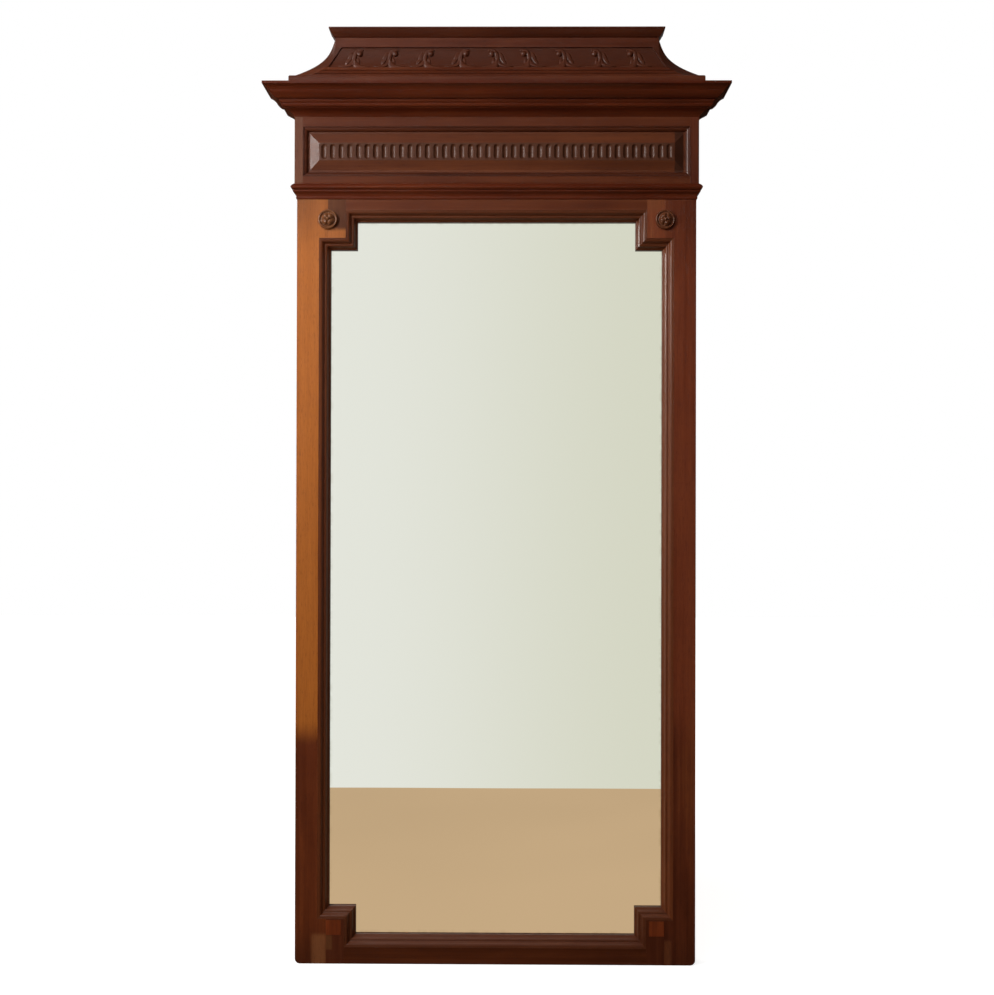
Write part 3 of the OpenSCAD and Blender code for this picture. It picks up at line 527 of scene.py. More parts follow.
@dataclass(frozen=True)
class SilveredPlate:
    """Silvered plate glass: sharp, a trace green, with the slight wave and specks of old plate.

    It is duller and browner in patches along the edges of its sight size, which half, foot and head
    give: worn silvering, with a painted reflection of the moulding's lip.
    """

    name: str
    bright: Colour = (0.895, 0.915, 0.885)
    aged_and_lip_reflection: Colour = (0.46, 0.4, 0.31)
    half: float = 0.355
    foot: float = 0.058
    head: float = 1.581
    wave_depth: float = 0.0002

    def make(self) -> Material:
        """Builds the finish.

        Returns:
            The material.
        """
        sketch = MaterialSketch(self.name)
        where = sketch.place()
        across = sketch.sum("ABSOLUTE", sketch.part_of(where, 0), 0.0)
        up = sketch.part_of(where, 2)
        side = sketch.span(across, self.half - 0.008, self.half + 0.004)
        low = sketch.span(up, self.foot - 0.004, self.foot + 0.010, 1.0, 0.0)
        high = sketch.span(up, self.head - 0.008, self.head + 0.004)
        rim = sketch.sum("MAXIMUM", side, sketch.sum("MAXIMUM", low, high))
        blotches = sketch.span(sketch.noise(38.0, 4.0, 0.62), 0.42, 0.66, 0.0, 0.45)
        specks = sketch.span(sketch.noise(520.0, 1.0), 0.77, 0.82, 0.0, 0.2)
        # the brown rim is partly worn silvering and partly a painted reflection of the lit lip of
        # the moulding
        age_and_lip_reflection = sketch.sum("MAXIMUM", sketch.sum("MULTIPLY", rim, blotches), specks)
        wave = sketch.noise((2.2, 2.2, 1.4), 1.0, 0.4)
        return sketch.coat({
            "Base Color": sketch.blend(age_and_lip_reflection, self.bright, self.aged_and_lip_reflection), "Metallic": 1.0,
            "Roughness": 0.0, "Normal": sketch.relief(wave, self.wave_depth)})


Finish = Walnut | Pine | Metal | SilveredPlate


class Palette:
    """Every finish of the object, each made once when it is first asked for."""

    def __init__(self) -> None:
        """Starts with no finish made."""
        self.made: dict[str, Material] = {}

    def get(self, finish: Finish) -> Material:
        """Gives a finish's material.

        Args:
            finish: the finish, told apart by its name.

        Returns:
            The material, made on the first call.
        """
        if finish.name not in self.made:
            self.made[finish.name] = finish.make()
        return self.made[finish.name]

    def dress(self, finish: Finish, nodes: Iterable[str]) -> None:
        """Gives CAD pieces a finish in every slot they have.

        Args:
            finish: the finish.
            nodes: names of the pieces.
        """
        material = self.get(finish)
        for node in nodes:
            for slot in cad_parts[node].material_slots:
                slot.material = material
            log.info("%s is dressed in %s", node, finish.name)


def new_piece(name: str, points: Sequence[Point], faces: Sequence[Sequence[int]],
              material: Material, smooth: bool = True, body: str = "frame") -> Thing:
    """Makes a mesh object that rides on a body.

    Args:
        name: the piece's name.
        points: its corners, in metres.
        faces: rows of point numbers.
        material: its finish.
        smooth: whether it is shaded smoothly.
        body: the body it moves with.

    Returns:
        The object.
    """
    mesh = bpy.data.meshes.new(name)
    mesh.from_pydata([tuple(p) for p in points], [], [tuple(f) for f in faces])
    mesh.validate()
    for polygon in mesh.polygons:
        polygon.use_smooth = smooth
    mesh.materials.append(material)
    piece = bpy.data.objects.new(name, mesh)
    bpy.context.scene.collection.objects.link(piece)
    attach(piece, body)
    log.info("%s is built, %d faces", name, len(mesh.polygons))
    return piece


DARK = ((72, 28, 10), (94, 42, 17), (114, 57, 27))
RED = ((70, 24, 8), (90, 34, 13), (108, 48, 22))


@dataclass(frozen=True)
class Walnuts:
    """The walnut finishes by the part of the mirror they belong to."""

    left_stile: Walnut = Walnut(
        "walnut_left_stile", Grain.UPRIGHT, ((86, 34, 12), (108, 48, 20), (132, 64, 28)),
        seed=1.0, polish=0.38, colour_patches=(
            # painted light: the left stile lit up by the window, broken by the figure
            ColourPatch((-0.44, 0.49), (-0.35, 1.66), (186, 108, 40), 0.03, 0.92),
            # painted shadow of the head over the top of the left stile
            ColourPatch((-0.44, 1.56), (-0.386, 1.69), (70, 32, 14), 0.07, 0.85),
            # painted shade: the left stile darker towards its foot
            ColourPatch((-0.44, -0.08), (-0.35, 0.05), (60, 22, 9), 0.05, 0.7),
            ColourPatch((-0.389, -0.01), (-0.358, 0.062), (138, 84, 50), 0.006)))
    right_stile: Walnut = Walnut(
        "walnut_right_stile", Grain.UPRIGHT, ((82, 32, 13), (104, 46, 22), (124, 62, 30)),
        seed=2.0, polish=0.38, contrast=1.5, colour_patches=(
            # painted light: the middle of the right stile lighter, its head and foot left in shade
            ColourPatch((0.35, 0.50), (0.45, 1.52), (134, 62, 34), 0.07, 0.7),
            # painted shade: the right stile darker towards its foot
            ColourPatch((0.35, -0.08), (0.45, 0.05), (60, 22, 9), 0.05, 0.5),
            ColourPatch((0.358, -0.01), (0.374, 0.052), (116, 64, 36), 0.004, 0.9)))
    rail: Walnut = Walnut("walnut_rail", Grain.ACROSS, DARK, seed=3.0)
    left_block: Walnut = Walnut(
        "walnut_left_block", Grain.UPRIGHT, ((70, 33, 11), (87, 43, 15), (103, 55, 21)),
        seed=4.0, polish=0.38,
        colour_patches=(ColourPatch((-0.37, 1.50), (-0.29, 1.562), (170, 98, 40), 0.006, 0.95),))
    right_block: Walnut = Walnut(
        "walnut_right_block", Grain.UPRIGHT, ((100, 44, 22), (124, 58, 31), (144, 80, 46)),
        seed=5.0, polish=0.38,
        colour_patches=(ColourPatch((0.31, 1.602), (0.36, 1.64), (128, 72, 40), 0.012, 0.6),))
    low_block: Walnut = Walnut(
        "walnut_low_block", Grain.UPRIGHT, ((68, 24, 10), (86, 36, 16), (104, 50, 25)),
        seed=6.0, polish=0.38,
        colour_patches=(ColourPatch((-0.36, 0.030), (-0.346, 0.060), (112, 66, 36), 0.002, 0.9),))
    upright_moulding: Walnut = Walnut(
        "walnut_upright_moulding", Grain.UPRIGHT,
        ((94, 44, 18), (112, 56, 26), (126, 68, 36)),
        seed=7.0, polish=0.43, contrast=0.7, edge_wear_and_highlight=0.1, grime_and_shade=0.35)
    level_moulding: Walnut = Walnut(
        "walnut_level_moulding", Grain.ACROSS, ((80, 36, 15), (98, 48, 23), (112, 60, 31)),
        seed=8.0, polish=0.43, contrast=0.7, edge_wear_and_highlight=0.1, grime_and_shade=0.35)
    side: Walnut = Walnut("walnut_side", Grain.DEEP, DARK, seed=9.0)
    cornice: Walnut = Walnut("walnut_cornice", Grain.ACROSS, RED, seed=10.0, polish=0.32)
    cornice_side: Walnut = Walnut("walnut_cornice_side", Grain.DEEP, RED, seed=11.0, polish=0.32)
    frieze: Walnut = Walnut(
        "walnut_frieze", Grain.ACROSS, ((72, 28, 10), (92, 41, 16), (110, 54, 25)),
        seed=12.0, polish=0.34)
    frieze_left: Walnut = Walnut(
        "walnut_frieze_left", Grain.UPRIGHT, ((80, 40, 23), (98, 54, 33), (114, 68, 44)),
        seed=19.0)
    # a darker tone as painted shade: the beads face down, away from the light
    frieze_bead: Walnut = Walnut(
        "walnut_frieze_bead_painted_shade", Grain.ACROSS, ((60, 24, 10), (76, 33, 15), (90, 42, 21)),
        seed=20.0, polish=0.38, edge_wear_and_highlight=0.1)
    frieze_panel: Walnut = Walnut(
        "walnut_frieze_panel", Grain.ACROSS, ((74, 32, 13), (94, 45, 20), (113, 58, 28)),
        seed=13.0, polish=0.44, edge_wear_and_highlight=0.1, grime_and_shade=0.35, colour_patches=(
            ColourPatch((-0.378, 1.7085), (0.378, 1.7465), (78, 44, 27), 0.0008, 0.8),
            # painted shade on the right bevel, which faces away from the window
            ColourPatch((0.379, 1.68), (0.398, 1.775), (44, 22, 12), 0.0008, 0.75)))
    crest: Walnut = Walnut(
        "walnut_crest", Grain.ACROSS, ((66, 26, 9), (86, 36, 15), (104, 49, 22)),
        seed=14.0,
        colour_patches=(ColourPatch((-0.40, 1.9082), (0.40, 1.9528), (70, 31, 14), 0.0006, 0.75),))
    carving: Walnut = Walnut(
        "walnut_carving", Grain.ACROSS, ((66, 28, 12), (82, 37, 17), (98, 47, 24)),
        seed=15.0, polish=0.46, contrast=0.7, edge_wear_and_highlight=0.05)
    cap: Walnut = Walnut(
        "walnut_cap", Grain.ACROSS, ((58, 22, 9), (76, 32, 16), (94, 46, 26)),
        seed=16.0, polish=0.34)
    tile: Walnut = Walnut(
        "walnut_tile", Grain.UPRIGHT, ((88, 38, 16), (124, 54, 23), (150, 68, 30)),
        seed=17.0, polish=0.34)
    # the left rosette paler as painted light from the window
    left_rosette: Walnut = Walnut(
        "walnut_left_rosette_painted_light", Grain.DEEP, ((92, 54, 32), (118, 74, 47), (142, 96, 64)),
        seed=18.0, polish=0.16, contrast=0.7, edge_wear_and_highlight=0.5, grime_and_shade=0.8)
    # the right rosette darker as painted shade
    right_rosette: Walnut = Walnut(
        "walnut_right_rosette_painted_shade", Grain.DEEP, ((76, 38, 21), (96, 52, 31), (116, 70, 45)),
        seed=21.0, polish=0.2, contrast=0.7, edge_wear_and_highlight=0.5, grime_and_shade=0.8)


WALNUT = Walnuts()
SILVER = Metal("silver_coat", (0.9, 0.9, 0.88), (0.6, 0.55, 0.46), 0.12)
STEEL = Metal("old_steel", shade(168, 162, 152), shade(108, 96, 84), 0.4)
BRASS = Metal("old_brass", shade(236, 200, 130), shade(160, 122, 70), 0.28)


Dressing = tuple[tuple[Finish, tuple[str, ...]], ...]


@dataclass(frozen=True)
class SubAssembly:
    """A part of the mirror, with finishes for the pieces that keep their CAD shape."""

    finishes: Dressing = ()

    def build(self, palette: Palette) -> None:
        """Dresses the pieces that keep their CAD shape."""
        for finish, nodes in self.finishes:
            palette.dress(finish, nodes)


@dataclass(frozen=True)
class LowerFrame(SubAssembly):
    """The mirror's own frame: two stiles, two rails, four notch blocks and their corner tiles."""

    finishes: Dressing = (
        (WALNUT.left_stile, ("left_stile",)),
        (WALNUT.right_stile, ("right_stile",)),
        (WALNUT.rail, ("top_rail", "bottom_rail")),
        (WALNUT.left_block, ("upper_left_block",)),
        (WALNUT.right_block, ("upper_right_block",)),
        (WALNUT.low_block, ("lower_left_block", "lower_right_block")),
        (WALNUT.tile, ("corner_tiles",)))


@dataclass(frozen=True)
class SightEdge(SubAssembly):
    """The stepped moulding round the plate, four straight runs and four notched corners."""

    finishes: Dressing = (
        (WALNUT.upright_moulding, ("left_sight_moulding", "right_sight_moulding")),
        (WALNUT.level_moulding, (
            "top_sight_moulding", "bottom_sight_moulding", "upper_left_notch_moulding",
            "upper_right_notch_moulding", "lower_left_notch_moulding",
            "lower_right_notch_moulding")))


@dataclass(frozen=True)
class Backing(SubAssembly):
    """The boards, blocks and screws behind the plate."""

    finishes: Dressing = (
        (Pine("pine_left_board", Grain.UPRIGHT, 1.0), ("left_backboard",)),
        (Pine("pine_middle_board", Grain.UPRIGHT, 2.0, shade(204, 160, 106), shade(150, 102, 58)),
         ("middle_backboard",)),
        (Pine("pine_right_board", Grain.UPRIGHT, 3.0, shade(186, 142, 90), shade(132, 88, 48)),
         ("right_backboard",)),
        (Pine("pine_block", Grain.UPRIGHT, 4.0), ("glazing_blocks",)),
        (STEEL, ("backboard_screws",)))


@dataclass(frozen=True)
class Entablature(SubAssembly):
    """Architrave, frieze and cornice, with the flutes sunk in the frieze's panel."""

    finishes: Dressing = (
        (WALNUT.cornice, ("architrave_front", "cornice_front")),
        (WALNUT.cornice_side, (
            "architrave_left", "architrave_right", "cornice_left", "cornice_right")),
        (WALNUT.frieze, ("frieze_top_rail", "frieze_bottom_rail")),
        (WALNUT.frieze_bead, ("frieze_beads",)),
        (WALNUT.right_stile, ("frieze_right_stile",)),
        (WALNUT.frieze_left, ("frieze_left_stile",)),
        (WALNUT.frieze_panel, ("frieze_panel",)),
        (WALNUT.side, ("frieze_left_side", "frieze_right_side")))


@dataclass(frozen=True)
class Carcass(SubAssembly):
    """The pine and the screws that hold the head of the mirror together behind its front."""

    finishes: Dressing = (
        (Pine("pine_level", Grain.ACROSS, 5.0), (
            "base_board", "hanging_rail", "dust_board", "battens", "crest_top_board")),
        (Pine("pine_back", Grain.ACROSS, 6.0, shade(190, 146, 94), shade(136, 92, 52)),
         ("crest_back_board", "glue_blocks")),
        (STEEL, ("carcass_screws",)))


@dataclass(frozen=True)
class HangingGear(SubAssembly):
    """The two brass hangers with their swinging rings."""

    finishes: Dressing = (
        (BRASS, ("hanger_plates", "hanger_screws", "left_ring", "right_ring")),)


@dataclass(frozen=True)
class Rosette:
    """One turned and carved rosette: a round rim, a groove and a boss cut into petals."""

    name: str
    node: str
    centre: Place
    finish: Walnut
    turn: float = 0.0
    seat: float = 0.048
    radius: float = 0.021
    rim_inside: float = 0.0158
    rim_base: float = 0.0022
    rim: float = 0.0038
    groove: float = 0.0152
    groove_base: float = 0.0034
    groove_dish: float = 0.0004
    boss: float = 0.0140
    boss_base: float = 0.0036
    dome: float = 0.0078
    petals: int = 4
    petal_lift: float = 0.0011
    cut: float = 0.0034
    vein: float = 0.0004
    button: float = 0.0016
    button_groove: float = 0.0012
    foot: float = 0.0001

    def height(self, radius: float, angle: float) -> float:
        """Gives how far the face stands forward of its seat.

        Args:
            radius: distance from the centre, in metres.
            angle: direction, in radians.

        Returns:
            The height in metres.
        """
        if radius > self.rim_inside:
            middle = (self.radius + self.rim_inside) / 2
            round_off = max(0.0, 1 - ((radius - middle) / (self.radius - middle)) ** 2)
            return self.rim_base + self.rim * math.sqrt(round_off)
        if radius > self.boss:
            return self.groove_base + self.groove_dish * between(radius, self.boss, self.groove)
        share = radius / self.boss
        swell = math.sqrt(max(0.0, 1 - share * share)) ** 0.85
        petal = abs(math.sin(self.petals * 0.5 * (angle + self.turn)))
        depth = between(share, 0.2, 0.42) * (1 - between(share, 0.9, 1.0))
        cut = (1 - petal) ** 1.5 * self.cut * depth
        vein = math.exp(-((petal - 1) / 0.03) ** 2) * self.vein * depth
        lift = self.petal_lift * math.sin(math.pi * min(1.0, max(0.0, (share - 0.3) / 0.65)))
        button = self.button * math.sqrt(max(0.0, 1 - (share / 0.24) ** 2))
        button -= self.button_groove * math.exp(-((share - 0.28) / 0.05) ** 2)
        return self.boss_base + self.dome * swell + lift + button - cut - vein

    def build(self, palette: Palette) -> None:
        """Cuts the rosette and puts it in its node's place.

        Args:
            palette: the finishes.
        """
        around, rings = 96, 46
        angles = [2 * math.pi * step / around for step in range(around)]

        def spot(radius: float, angle: float, forward: float) -> Point:
            """Gives a point by its place on the disc and how far it stands forward of the seat."""
            return (self.centre[0] + radius * math.cos(angle), -self.seat - forward,
                    self.centre[1] + radius * math.sin(angle))

        points = [spot(0.0, 0.0, self.height(0.0, 0.0))]
        for ring in range(1, rings + 1):
            radius = self.radius * ring / rings
            points += [spot(radius, angle, self.height(radius, angle)) for angle in angles]
        points += [spot(self.radius, angle, -self.foot) for angle in angles]
        faces = [(0, 1 + step, 1 + (step + 1) % around) for step in range(around)]
        for ring in range(rings):
            for step in range(around):
                a = 1 + ring * around + step
                b = 1 + ring * around + (step + 1) % around
                faces.append((a, a + around, b + around, b))
        faces.append(tuple(1 + rings * around + step for step in range(around)))
        piece = new_piece(self.name, points, faces, palette.get(self.finish))
        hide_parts(self.node)


@dataclass(frozen=True)
class MirrorPlate(SubAssembly):
    """The silvered plate of glass."""

    finishes: Dressing = ((SILVER, ("silvering",)),)
    half: float = 0.3648
    foot: float = 0.0482
    head: float = 1.5908
    back: float = 0.01806
    front: float = 0.0229
    arris: float = 0.0004

    def build(self, palette: Palette) -> None:
        """Makes the plate, its arrises ground off, and dresses the coat behind it.

        Args:
            palette: the finishes.
        """
        middle = (self.foot + self.head) / 2
        tall = (self.head - self.foot) / 2
        rows = ((self.back, self.arris), (self.back + self.arris, 0.0),
                (self.front - self.arris, 0.0), (self.front, self.arris))
        points = [(sx * (self.half - inset), -depth, middle + sz * (tall - inset))
                  for depth, inset in rows for sx, sz in RING]
        faces = [(0, 1, 2, 3), (15, 14, 13, 12)]
        for row in range(len(rows) - 1):
            for step in range(4):
                a, b = row * 4 + step, row * 4 + (step + 1) % 4
                faces.append((b, a, a + 4, b + 4))
        plate = new_piece("mirror_plate", points, faces,
                          palette.get(SilveredPlate("silvered_plate")), smooth=False)
        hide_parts("mirror_glass")
        super().build(palette)


@dataclass(frozen=True)
class Scroll:
    """One running scroll, in millimetres from its own foot, across and up.

    The ribbon and the foot are places with a half width, the eye has a radius, and each leaf has
    two half lengths and a lean in degrees.
    """

    ribbon: tuple[Point, ...] = (
        (-39.0, 3.4, 0.8), (-33.0, 2.8, 1.8), (-26.0, 3.0, 2.6), (-18.0, 4.2, 3.2),
        (-11.6, 7.4, 3.8), (-7.4, 12.6, 4.3), (-5.4, 19.0, 4.6), (-4.4, 26.0, 4.6),
        (-2.4, 32.4, 4.4), (2.0, 37.2, 3.9), (7.6, 39.2, 3.2), (12.4, 38.4, 2.0))
    ribbon_height: float = 3.0
    ribbon_vein: float = 0.35
    foot: tuple[Point, ...] = (
        (-4.6, 17.0, 3.0), (-3.0, 11.0, 5.0), (-1.0, 6.4, 7.4), (3.0, 3.4, 6.4), (10.0, 2.2, 3.4),
        (19.0, 1.8, 2.0), (27.0, 1.6, 1.0))
    foot_height: float = 3.4
    eye: Point = (6.6, 31.4, 6.6)
    eye_height: float = 4.8
    leaves: tuple[tuple[float, float, float, float, float], ...] = (
        (-13.6, 24.4, 11.0, 5.2, 66.0), (-18.4, 14.6, 8.4, 4.2, 52.0),
        (3.2, 15.4, 7.4, 3.4, 102.0))
    leaf_height: float = 2.1

    @staticmethod
    def along(line: Sequence[Point]) -> list[Point]:
        """Smooths a line of places and half widths.

        Args:
            line: places across and up, with the half width there.

        Returns:
            A closer row of the same.
        """
        rows: list[Point] = []
        last = len(line) - 1
        for i in range(last):
            four = line[max(0, i - 1)], line[i], line[i + 1], line[min(last, i + 2)]
            for k in range(5):
                t = k / 5
                rows.append(tuple(
                    0.5 * (2 * b + (c - a) * t + (2 * a - 5 * b + 4 * c - d) * t * t
                           + (3 * b - a - 3 * c + d) * t ** 3)
                    for a, b, c, d in zip(*four)))
        rows.append(line[last])
        return rows

    @staticmethod
    def roll(line: Sequence[Point], u: float, v: float, high: float, vein: float) -> float:
        """Gives the height of a rounded ribbon at one place.

        Args:
            line: the ribbon's middle line and half widths.
            u: place across.
            v: place up.
            high: its greatest height.
            vein: how deep its middle is cut.

        Returns:
            The height in millimetres, 0 off the ribbon.
        """
        best, height = math.inf, 0.0
        for (x0, y0, w0), (x1, y1, w1) in zip(line, line[1:]):
            dx, dy = x1 - x0, y1 - y0
            t = min(1.0, max(0.0, ((u - x0) * dx + (v - y0) * dy) / (dx * dx + dy * dy)))
            half = w0 + (w1 - w0) * t
            share = math.hypot(u - x0 - t * dx, v - y0 - t * dy) / half
            if share < best:
                best = share
                swell = math.sqrt(max(0.0, 1 - share * share))
                cut = vein * math.exp(-(share / 0.3) ** 2)
                height = (high * swell - cut) * min(1.0, half / 2.0)
        return height if best < 1 else 0.0

    def field(self) -> Callable[[float, float], float]:
        """Gathers the scroll's parts.

        Returns:
            A function that gives the height in millimetres at a place across and up.
        """
        ribbon, foot = self.along(self.ribbon), self.along(self.foot)

        def height(u: float, v: float) -> float:
            """Gives the height at one place.

            Args:
                u: place across.
                v: place up.

            Returns:
                The height in millimetres.
            """
            result = max(self.roll(ribbon, u, v, self.ribbon_height, self.ribbon_vein),
                         self.roll(foot, u, v, self.foot_height, 0.0))
            ex, ey, er = self.eye
            away = math.hypot(u - ex, v - ey) / er
            if away < 1:
                result = max(result, self.eye_height * (1 - away * away) ** 0.6)
            for cx, cy, long, wide, lean in self.leaves:
                angle = math.radians(lean)
                du, dv = u - cx, v - cy
                p = (du * math.cos(angle) + dv * math.sin(angle)) / long
                q = (-du * math.sin(angle) + dv * math.cos(angle)) / wide
                share = p * p + q * q
                if share < 1:
                    vein = 0.3 * math.exp(-(q / 0.25) ** 2)
                    vein += 0.12 * abs(math.sin(3.0 * p + 2.0 * abs(q)))
                    result = max(result, self.leaf_height * math.sqrt(1 - share) - vein)
            return result
        return height


@dataclass(frozen=True)
class Crest(SubAssembly):
    """The hollow crest with its cap, and the running scrolls on its sunk panel.

    The scrolls left of the middle curl to the right, the other ones to the left.
    """

    finishes: Dressing = (
        (WALNUT.crest, ("crest_front", "crest_left_end", "crest_right_end", "crest_plinth")),
        (WALNUT.cap, ("crest_cap_front", "crest_cap_left", "crest_cap_right")))
    panel_foot: float = 1.908
    panel_head: float = 1.953
    middle: float = -0.004
    inner: float = 0.0683
    pitch: float = 0.0757
    side_count: int = 4
    scroll_left: float = -0.042
    scroll_width: float = 0.07
    mesh_step: float = 0.0007
    skirt: float = -0.0003
    sink: float = 0.003
    neck: float = 0.041
    neck_z: float = 1.958
    hollow_tall: float = 0.069
    flare: float = 0.017
    scroll: Scroll = field(default_factory=Scroll)

    def hollow(self, z: float) -> float:
        """Gives how far the hollow face stands from the wall at a height."""
        t = min(1.0, max(0.0, (self.neck_z - z) / self.hollow_tall))
        return self.neck + self.flare * (0.1 * t + 0.9 * t ** 3)

    def build(self, palette: Palette) -> None:
        """Dresses the crest and carves its scrolls.

        Args:
            palette: the finishes.
        """
        super().build(palette)
        height, step = self.scroll.field(), self.mesh_step
        columns = round(self.scroll_width / step)
        rows = round((self.panel_head - self.panel_foot) / step)
        grid = [[height((self.scroll_left + i * step) * 1000, j * step * 1000)
                 for i in range(columns + 1)] for j in range(rows + 1)]
        cells = [((i, j), (i + 1, j), (i + 1, j + 1), (i, j + 1))
                 for j in range(rows) for i in range(columns)]
        carved = [cell for cell in cells if max(grid[b][a] for a, b in cell) > 0.0]
        points: list[Point] = []
        faces: list[tuple[int, ...]] = []
        for scroll in range(-self.side_count, self.side_count + 1):
            hand = 1 if scroll < 0 else -1
            start = self.middle
            if scroll:
                start -= hand * (self.inner + (abs(scroll) - 1) * self.pitch)
            numbers: dict[tuple[int, int], int] = {}
            for cell in carved:
                for a, b in cell:
                    if (a, b) not in numbers:
                        numbers[a, b] = len(points)
                        z = self.panel_foot + b * step
                        rise = grid[b][a] / 1000 if grid[b][a] > 0 else self.skirt
                        points.append((start + hand * (self.scroll_left + a * step),
                                       -(self.hollow(z) - self.sink + rise), z))
                faces.append(tuple(numbers[corner] for corner in cell[::hand]))
        piece = new_piece("carved_scrolls", points, faces, palette.get(WALNUT.carving))
        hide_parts("crest_carving")


@dataclass(frozen=True)
class Lamp:
    """One soft rectangular lamp."""

    name: str
    place: Point
    target: Point
    size: Place
    watts: float
    colour: Colour
    mirrored: bool = False

    def build(self) -> None:
        """Hangs the lamp."""
        data = bpy.data.lights.new(self.name, "AREA")
        data.shape = "RECTANGLE"
        data.size, data.size_y = self.size
        data.energy = self.watts
        data.color = self.colour
        lamp = bpy.data.objects.new(self.name, data)
        lamp.location = self.place
        aim = Vector(self.target) - Vector(self.place)
        lamp.rotation_euler = aim.to_track_quat("-Z", "Y").to_euler()
        lamp.visible_camera = False
        lamp.visible_glossy = self.mirrored
        bpy.context.scene.collection.objects.link(lamp)
        log.info("%s hangs at %s", self.name, self.place)


@dataclass(frozen=True)
class Studio:
    """The plain room of the mirror: a white floor, a pale wall that only the plate sees, and lamps.

    Each row of fill is an axis, the range along it, and the light at both ends of that range.
    """

    floor_half: float = 9.0
    floor_plain: Colour = (0.16, 0.09, 0.045)
    floor_seen: Colour = (0.63, 0.435, 0.255)
    floor_grey: Colour = (0.5, 0.5, 0.5)
    wall_y: float = -1.824
    wall_half: float = 8.0
    wall_head: float = 6.0
    wall_left: Colour = (0.86, 0.855, 0.80)
    wall_right: Colour = (0.74, 0.735, 0.62)
    lamps: tuple[Lamp, ...] = (
        Lamp("window_lamp", (-1.62, -1.50, 2.25), (0.0, 0.0, 1.40), (0.55, 1.3), 40.0,
             (1.0, 0.98, 0.95), mirrored=True),
        Lamp("near_lamp", (-1.05, -0.55, 1.30), (-0.40, -0.04, 1.15), (0.25, 0.9), 2.4,
             (1.0, 0.9, 0.76)),
        Lamp("front_lamp", (-0.3, -2.4, 3.1), (0.0, 0.0, 1.5), (1.4, 1.0), 20.0,
             (1.0, 0.98, 0.96)))
    flags: tuple[Place, ...] = ((-1.7, -0.56), (0.56, 1.7))
    flag_y: float = 0.55
    flag_foot: float = 0.9
    flag_head: float = 3.2
    fill_colour: Colour = (1.0, 0.97, 0.93)
    fill: tuple[tuple[int, float, float, float, float], ...] = (
        (0, -0.8, 0.8, 0.27, 0.10), (2, -0.25, 0.45, 0.35, 1.0), (1, 0.1, 0.6, 1.0, 6.0))
    gleam: float = 0.25

    @staticmethod
    def sheet(name: str, corners: Sequence[Point], material: Material) -> Thing:
        """Lays one flat sheet of the studio.

        Args:
            name: its name.
            corners: its four corners.
            material: its finish.

        Returns:
            The object.
        """
        mesh = bpy.data.meshes.new(name)
        mesh.from_pydata(list(corners), [], [(0, 1, 2, 3)])
        mesh.materials.append(material)
        thing = bpy.data.objects.new(name, mesh)
        bpy.context.scene.collection.objects.link(thing)
        thing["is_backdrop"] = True
        return thing

    def screen(self, name: str, y: float, span: Place, rise: Place,
               material: Material) -> Thing:
        """Sets up an upright sheet that only mirroring surfaces see.

        Args:
            name: its name.
            y: how deep it stands.
            span: where it begins and ends, across.
            rise: where it begins and ends, upwards.
            material: its finish.

        Returns:
            The object.
        """
        (left, right), (foot, head) = span, rise
        thing = self.sheet(name, ((left, y, foot), (right, y, foot), (right, y, head),
                                  (left, y, head)), material)
        thing.visible_camera = False
        thing.visible_shadow = False
        thing.visible_diffuse = False
        return thing

    def floor_finish(self) -> Material:
        """Makes the floor: white with a soft shadow to the eye, warm and plain in the plate.

        Returns:
            The material.
        """
        sketch = MaterialSketch("studio_floor")
        path = sketch.add("LightPath")
        reach = sketch.add("VectorMath", {0: sketch.place()}, operation="LENGTH")
        away = sketch.span(reach.outputs["Value"], 0.7, 1.8)
        bright = sketch.sum("ADD", 0.78, sketch.sum("MULTIPLY", away, 0.22))
        paint = sketch.add("BsdfDiffuse", {"Color": self.floor_grey})
        glow = sketch.add("Emission", {"Color": WHITE, "Strength": bright})
        lit = sketch.add("AddShader", {0: paint.outputs[0], 1: glow.outputs[0]})
        plain = sketch.add("BsdfDiffuse", {"Color": self.floor_plain})
        broad = sketch.ramp(sketch.noise((0.7, 0.9, 1.0), 2.0), [
            (0.3, dimmed(self.floor_seen, 0.93)), (0.7, self.floor_seen)])
        warm = sketch.add("Emission", {"Color": broad, "Strength": 1.0})
        mirrored = sketch.mix(path.outputs["Is Singular Ray"], plain, warm)
        sketch.end(sketch.mix(path.outputs["Is Camera Ray"], mirrored, lit))
        return sketch.material

    def wall_finish(self) -> Material:
        """Makes the pale wall that the plate shows, and that nothing else reflects.

        Returns:
            The material.
        """
        sketch = MaterialSketch("studio_wall")
        path = sketch.add("LightPath")
        # painted light: the wall lighter on the left and darker and yellower on the right, as lit
        # from the left
        across = sketch.span(sketch.part_of(sketch.place(), 0), -0.6, 0.6)
        paint = sketch.blend(across, self.wall_left, self.wall_right)
        sketch.end(sketch.mix(path.outputs["Is Singular Ray"], sketch.add("BsdfTransparent"),
                              sketch.add("Emission", {"Color": paint})))
        return sketch.material

    def flag_finish(self) -> Material:
        """Makes the brown cloth of the flags, which keep the glare off the ends of the mouldings.

        Returns:
            The material.
        """
        sketch = MaterialSketch("studio_flag")
        weave = sketch.ramp(sketch.noise(60.0, 2.0), [
            (0.3, (0.05, 0.026, 0.014)), (0.7, (0.07, 0.037, 0.02))])
        return sketch.coat({"Base Color": weave, "Specular IOR Level": 0.0})

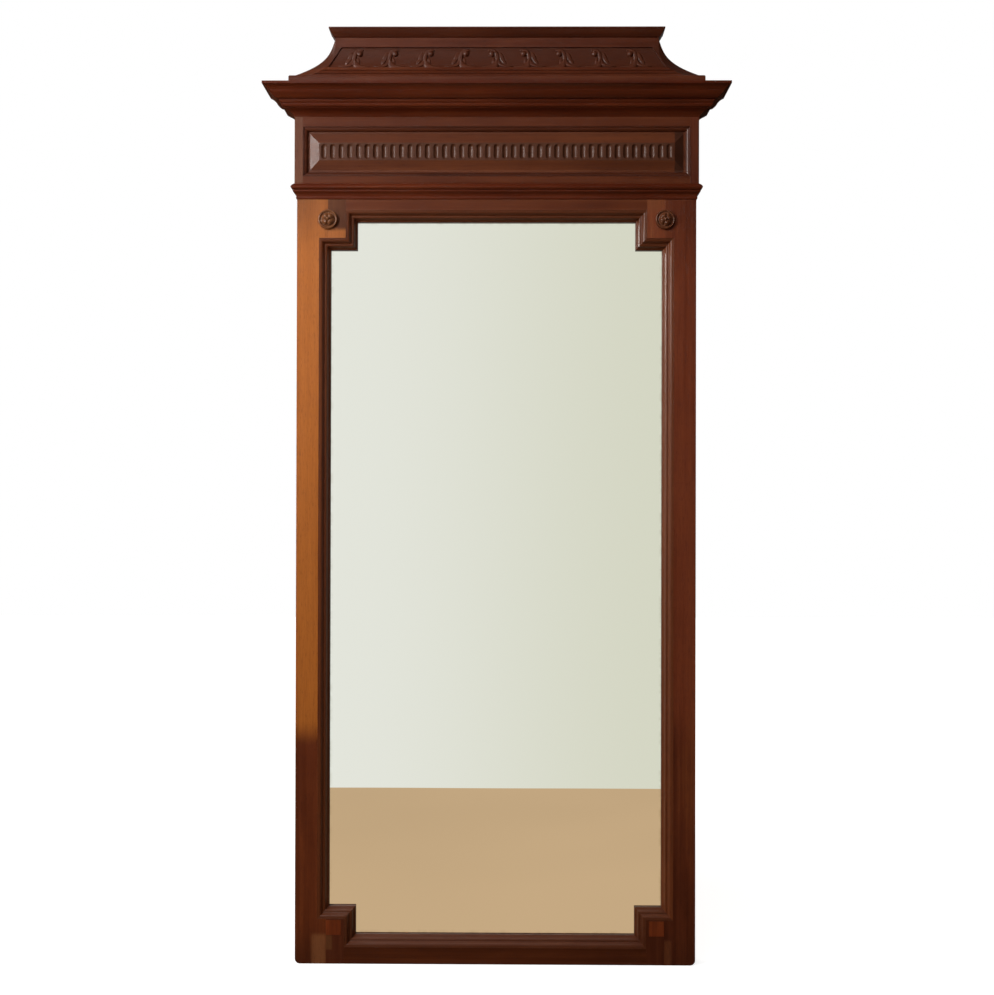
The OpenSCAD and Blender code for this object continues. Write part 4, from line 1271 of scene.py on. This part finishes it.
    def world(self) -> None:
        """Fills the room: white to the eye, else soft light, most of it from the left and above."""
        world = bpy.data.worlds.new("studio_world")
        bpy.context.scene.world = world
        world.use_nodes = True
        sketch = Sketch(world.node_tree, "OutputWorld")
        path = sketch.add("LightPath")
        way = sketch.add("TexCoord").outputs["Generated"]
        strength = sketch.span(path.outputs["Is Glossy Ray"], 0.0, 1.0, 1.0, self.gleam)
        for axis, low, high, dim, bright in self.fill:
            light = sketch.span(sketch.part_of(way, axis), low, high, dim, bright)
            strength = sketch.sum("MULTIPLY", strength, light)
        fill = sketch.add("Background", {"Color": self.fill_colour, "Strength": strength})
        white = sketch.add("Background", {"Color": WHITE, "Strength": 1.0})
        seen = sketch.sum(
            "MAXIMUM", path.outputs["Is Camera Ray"], path.outputs["Is Singular Ray"])
        sketch.end(sketch.mix(seen, fill, white))

    def build(self) -> None:
        """Lays the floor, sets up the wall and the flags, hangs the lamps and fills the room."""
        far = self.floor_half
        self.sheet("studio_floor", [(x * far, y * far, 0.0) for x, y in RING], self.floor_finish())
        self.screen("studio_wall", self.wall_y, (-self.wall_half, self.wall_half),
                    (0.0, self.wall_head), self.wall_finish())
        cloth = self.flag_finish()
        for number, span in enumerate(self.flags):
            flag = self.screen(f"studio_flag_{number}", self.flag_y, span,
                               (self.flag_foot, self.flag_head), cloth)
            flag.visible_transmission = False
        for lamp in self.lamps:
            lamp.build()
        self.world()


@dataclass(frozen=True)
class Viewpoint:
    """The camera, standing where the photograph was taken from, its angles in degrees."""

    place: Point = (0.02923, -2.98667, 0.97528)
    yaw: float = -0.5188
    pitch: float = 0.3140
    roll: float = 0.1367
    lens: float = 50.0
    sensor: float = 36.0

    def build(self) -> None:
        """Sets the camera up."""
        yaw, pitch, roll = (math.radians(angle) for angle in (self.yaw, self.pitch, self.roll))
        forward = Vector((math.sin(yaw) * math.cos(pitch), math.cos(yaw) * math.cos(pitch),
                          math.sin(pitch)))
        right = Vector((math.cos(yaw), -math.sin(yaw), 0.0))
        up = right.cross(forward)
        side = right * math.cos(roll) + up * math.sin(roll)
        top = up * math.cos(roll) - right * math.sin(roll)
        matrix = Matrix((side, top, -forward)).transposed().to_4x4()
        matrix.translation = Vector(self.place)
        data = bpy.data.cameras.new("viewpoint")
        data.sensor_width = self.sensor
        data.lens = self.lens
        camera = bpy.data.objects.new("viewpoint", data)
        camera.matrix_world = matrix
        bpy.context.scene.collection.objects.link(camera)
        bpy.context.scene.camera = camera
        log.info("the camera stands at %s", self.place)


def clear_room() -> None:
    """Takes away what Blender's empty file starts with."""
    for name in ("Cube", "Light", "Camera"):
        thing = bpy.data.objects.get(name)
        if thing is not None:
            bpy.data.objects.remove(thing, do_unlink=True)


def corners(box: tuple[Vector, Vector]) -> list[list[float]]:
    """Gives a box as plain numbers."""
    return [[float(part) for part in corner] for corner in box]


def main() -> None:
    """Builds the mirror's looks, sub-assembly by sub-assembly, and measures its size."""
    logging.basicConfig(level=logging.INFO, format="%(name)s: %(message)s")
    clear_room()
    cad = corners(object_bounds())
    palette = Palette()
    Viewpoint().build()
    Studio().build()
    for part in (
            LowerFrame(), SightEdge(),
            Rosette("left_carved_rosette", "left_rosette", (-0.359, 1.583), WALNUT.left_rosette),
            Rosette("right_carved_rosette", "right_rosette", (0.359, 1.583),
                    WALNUT.right_rosette, turn=0.3),
            MirrorPlate(), Backing(), Entablature(), Crest(), Carcass(), HangingGear()):
        part.build(palette)
    bpy.context.scene.view_settings.view_transform = "Standard"
    {"cad": cad, "visual": corners(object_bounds())}
    log.info("the size is noted, and the pieces are handed over")


if __name__ == "__main__":
    main()
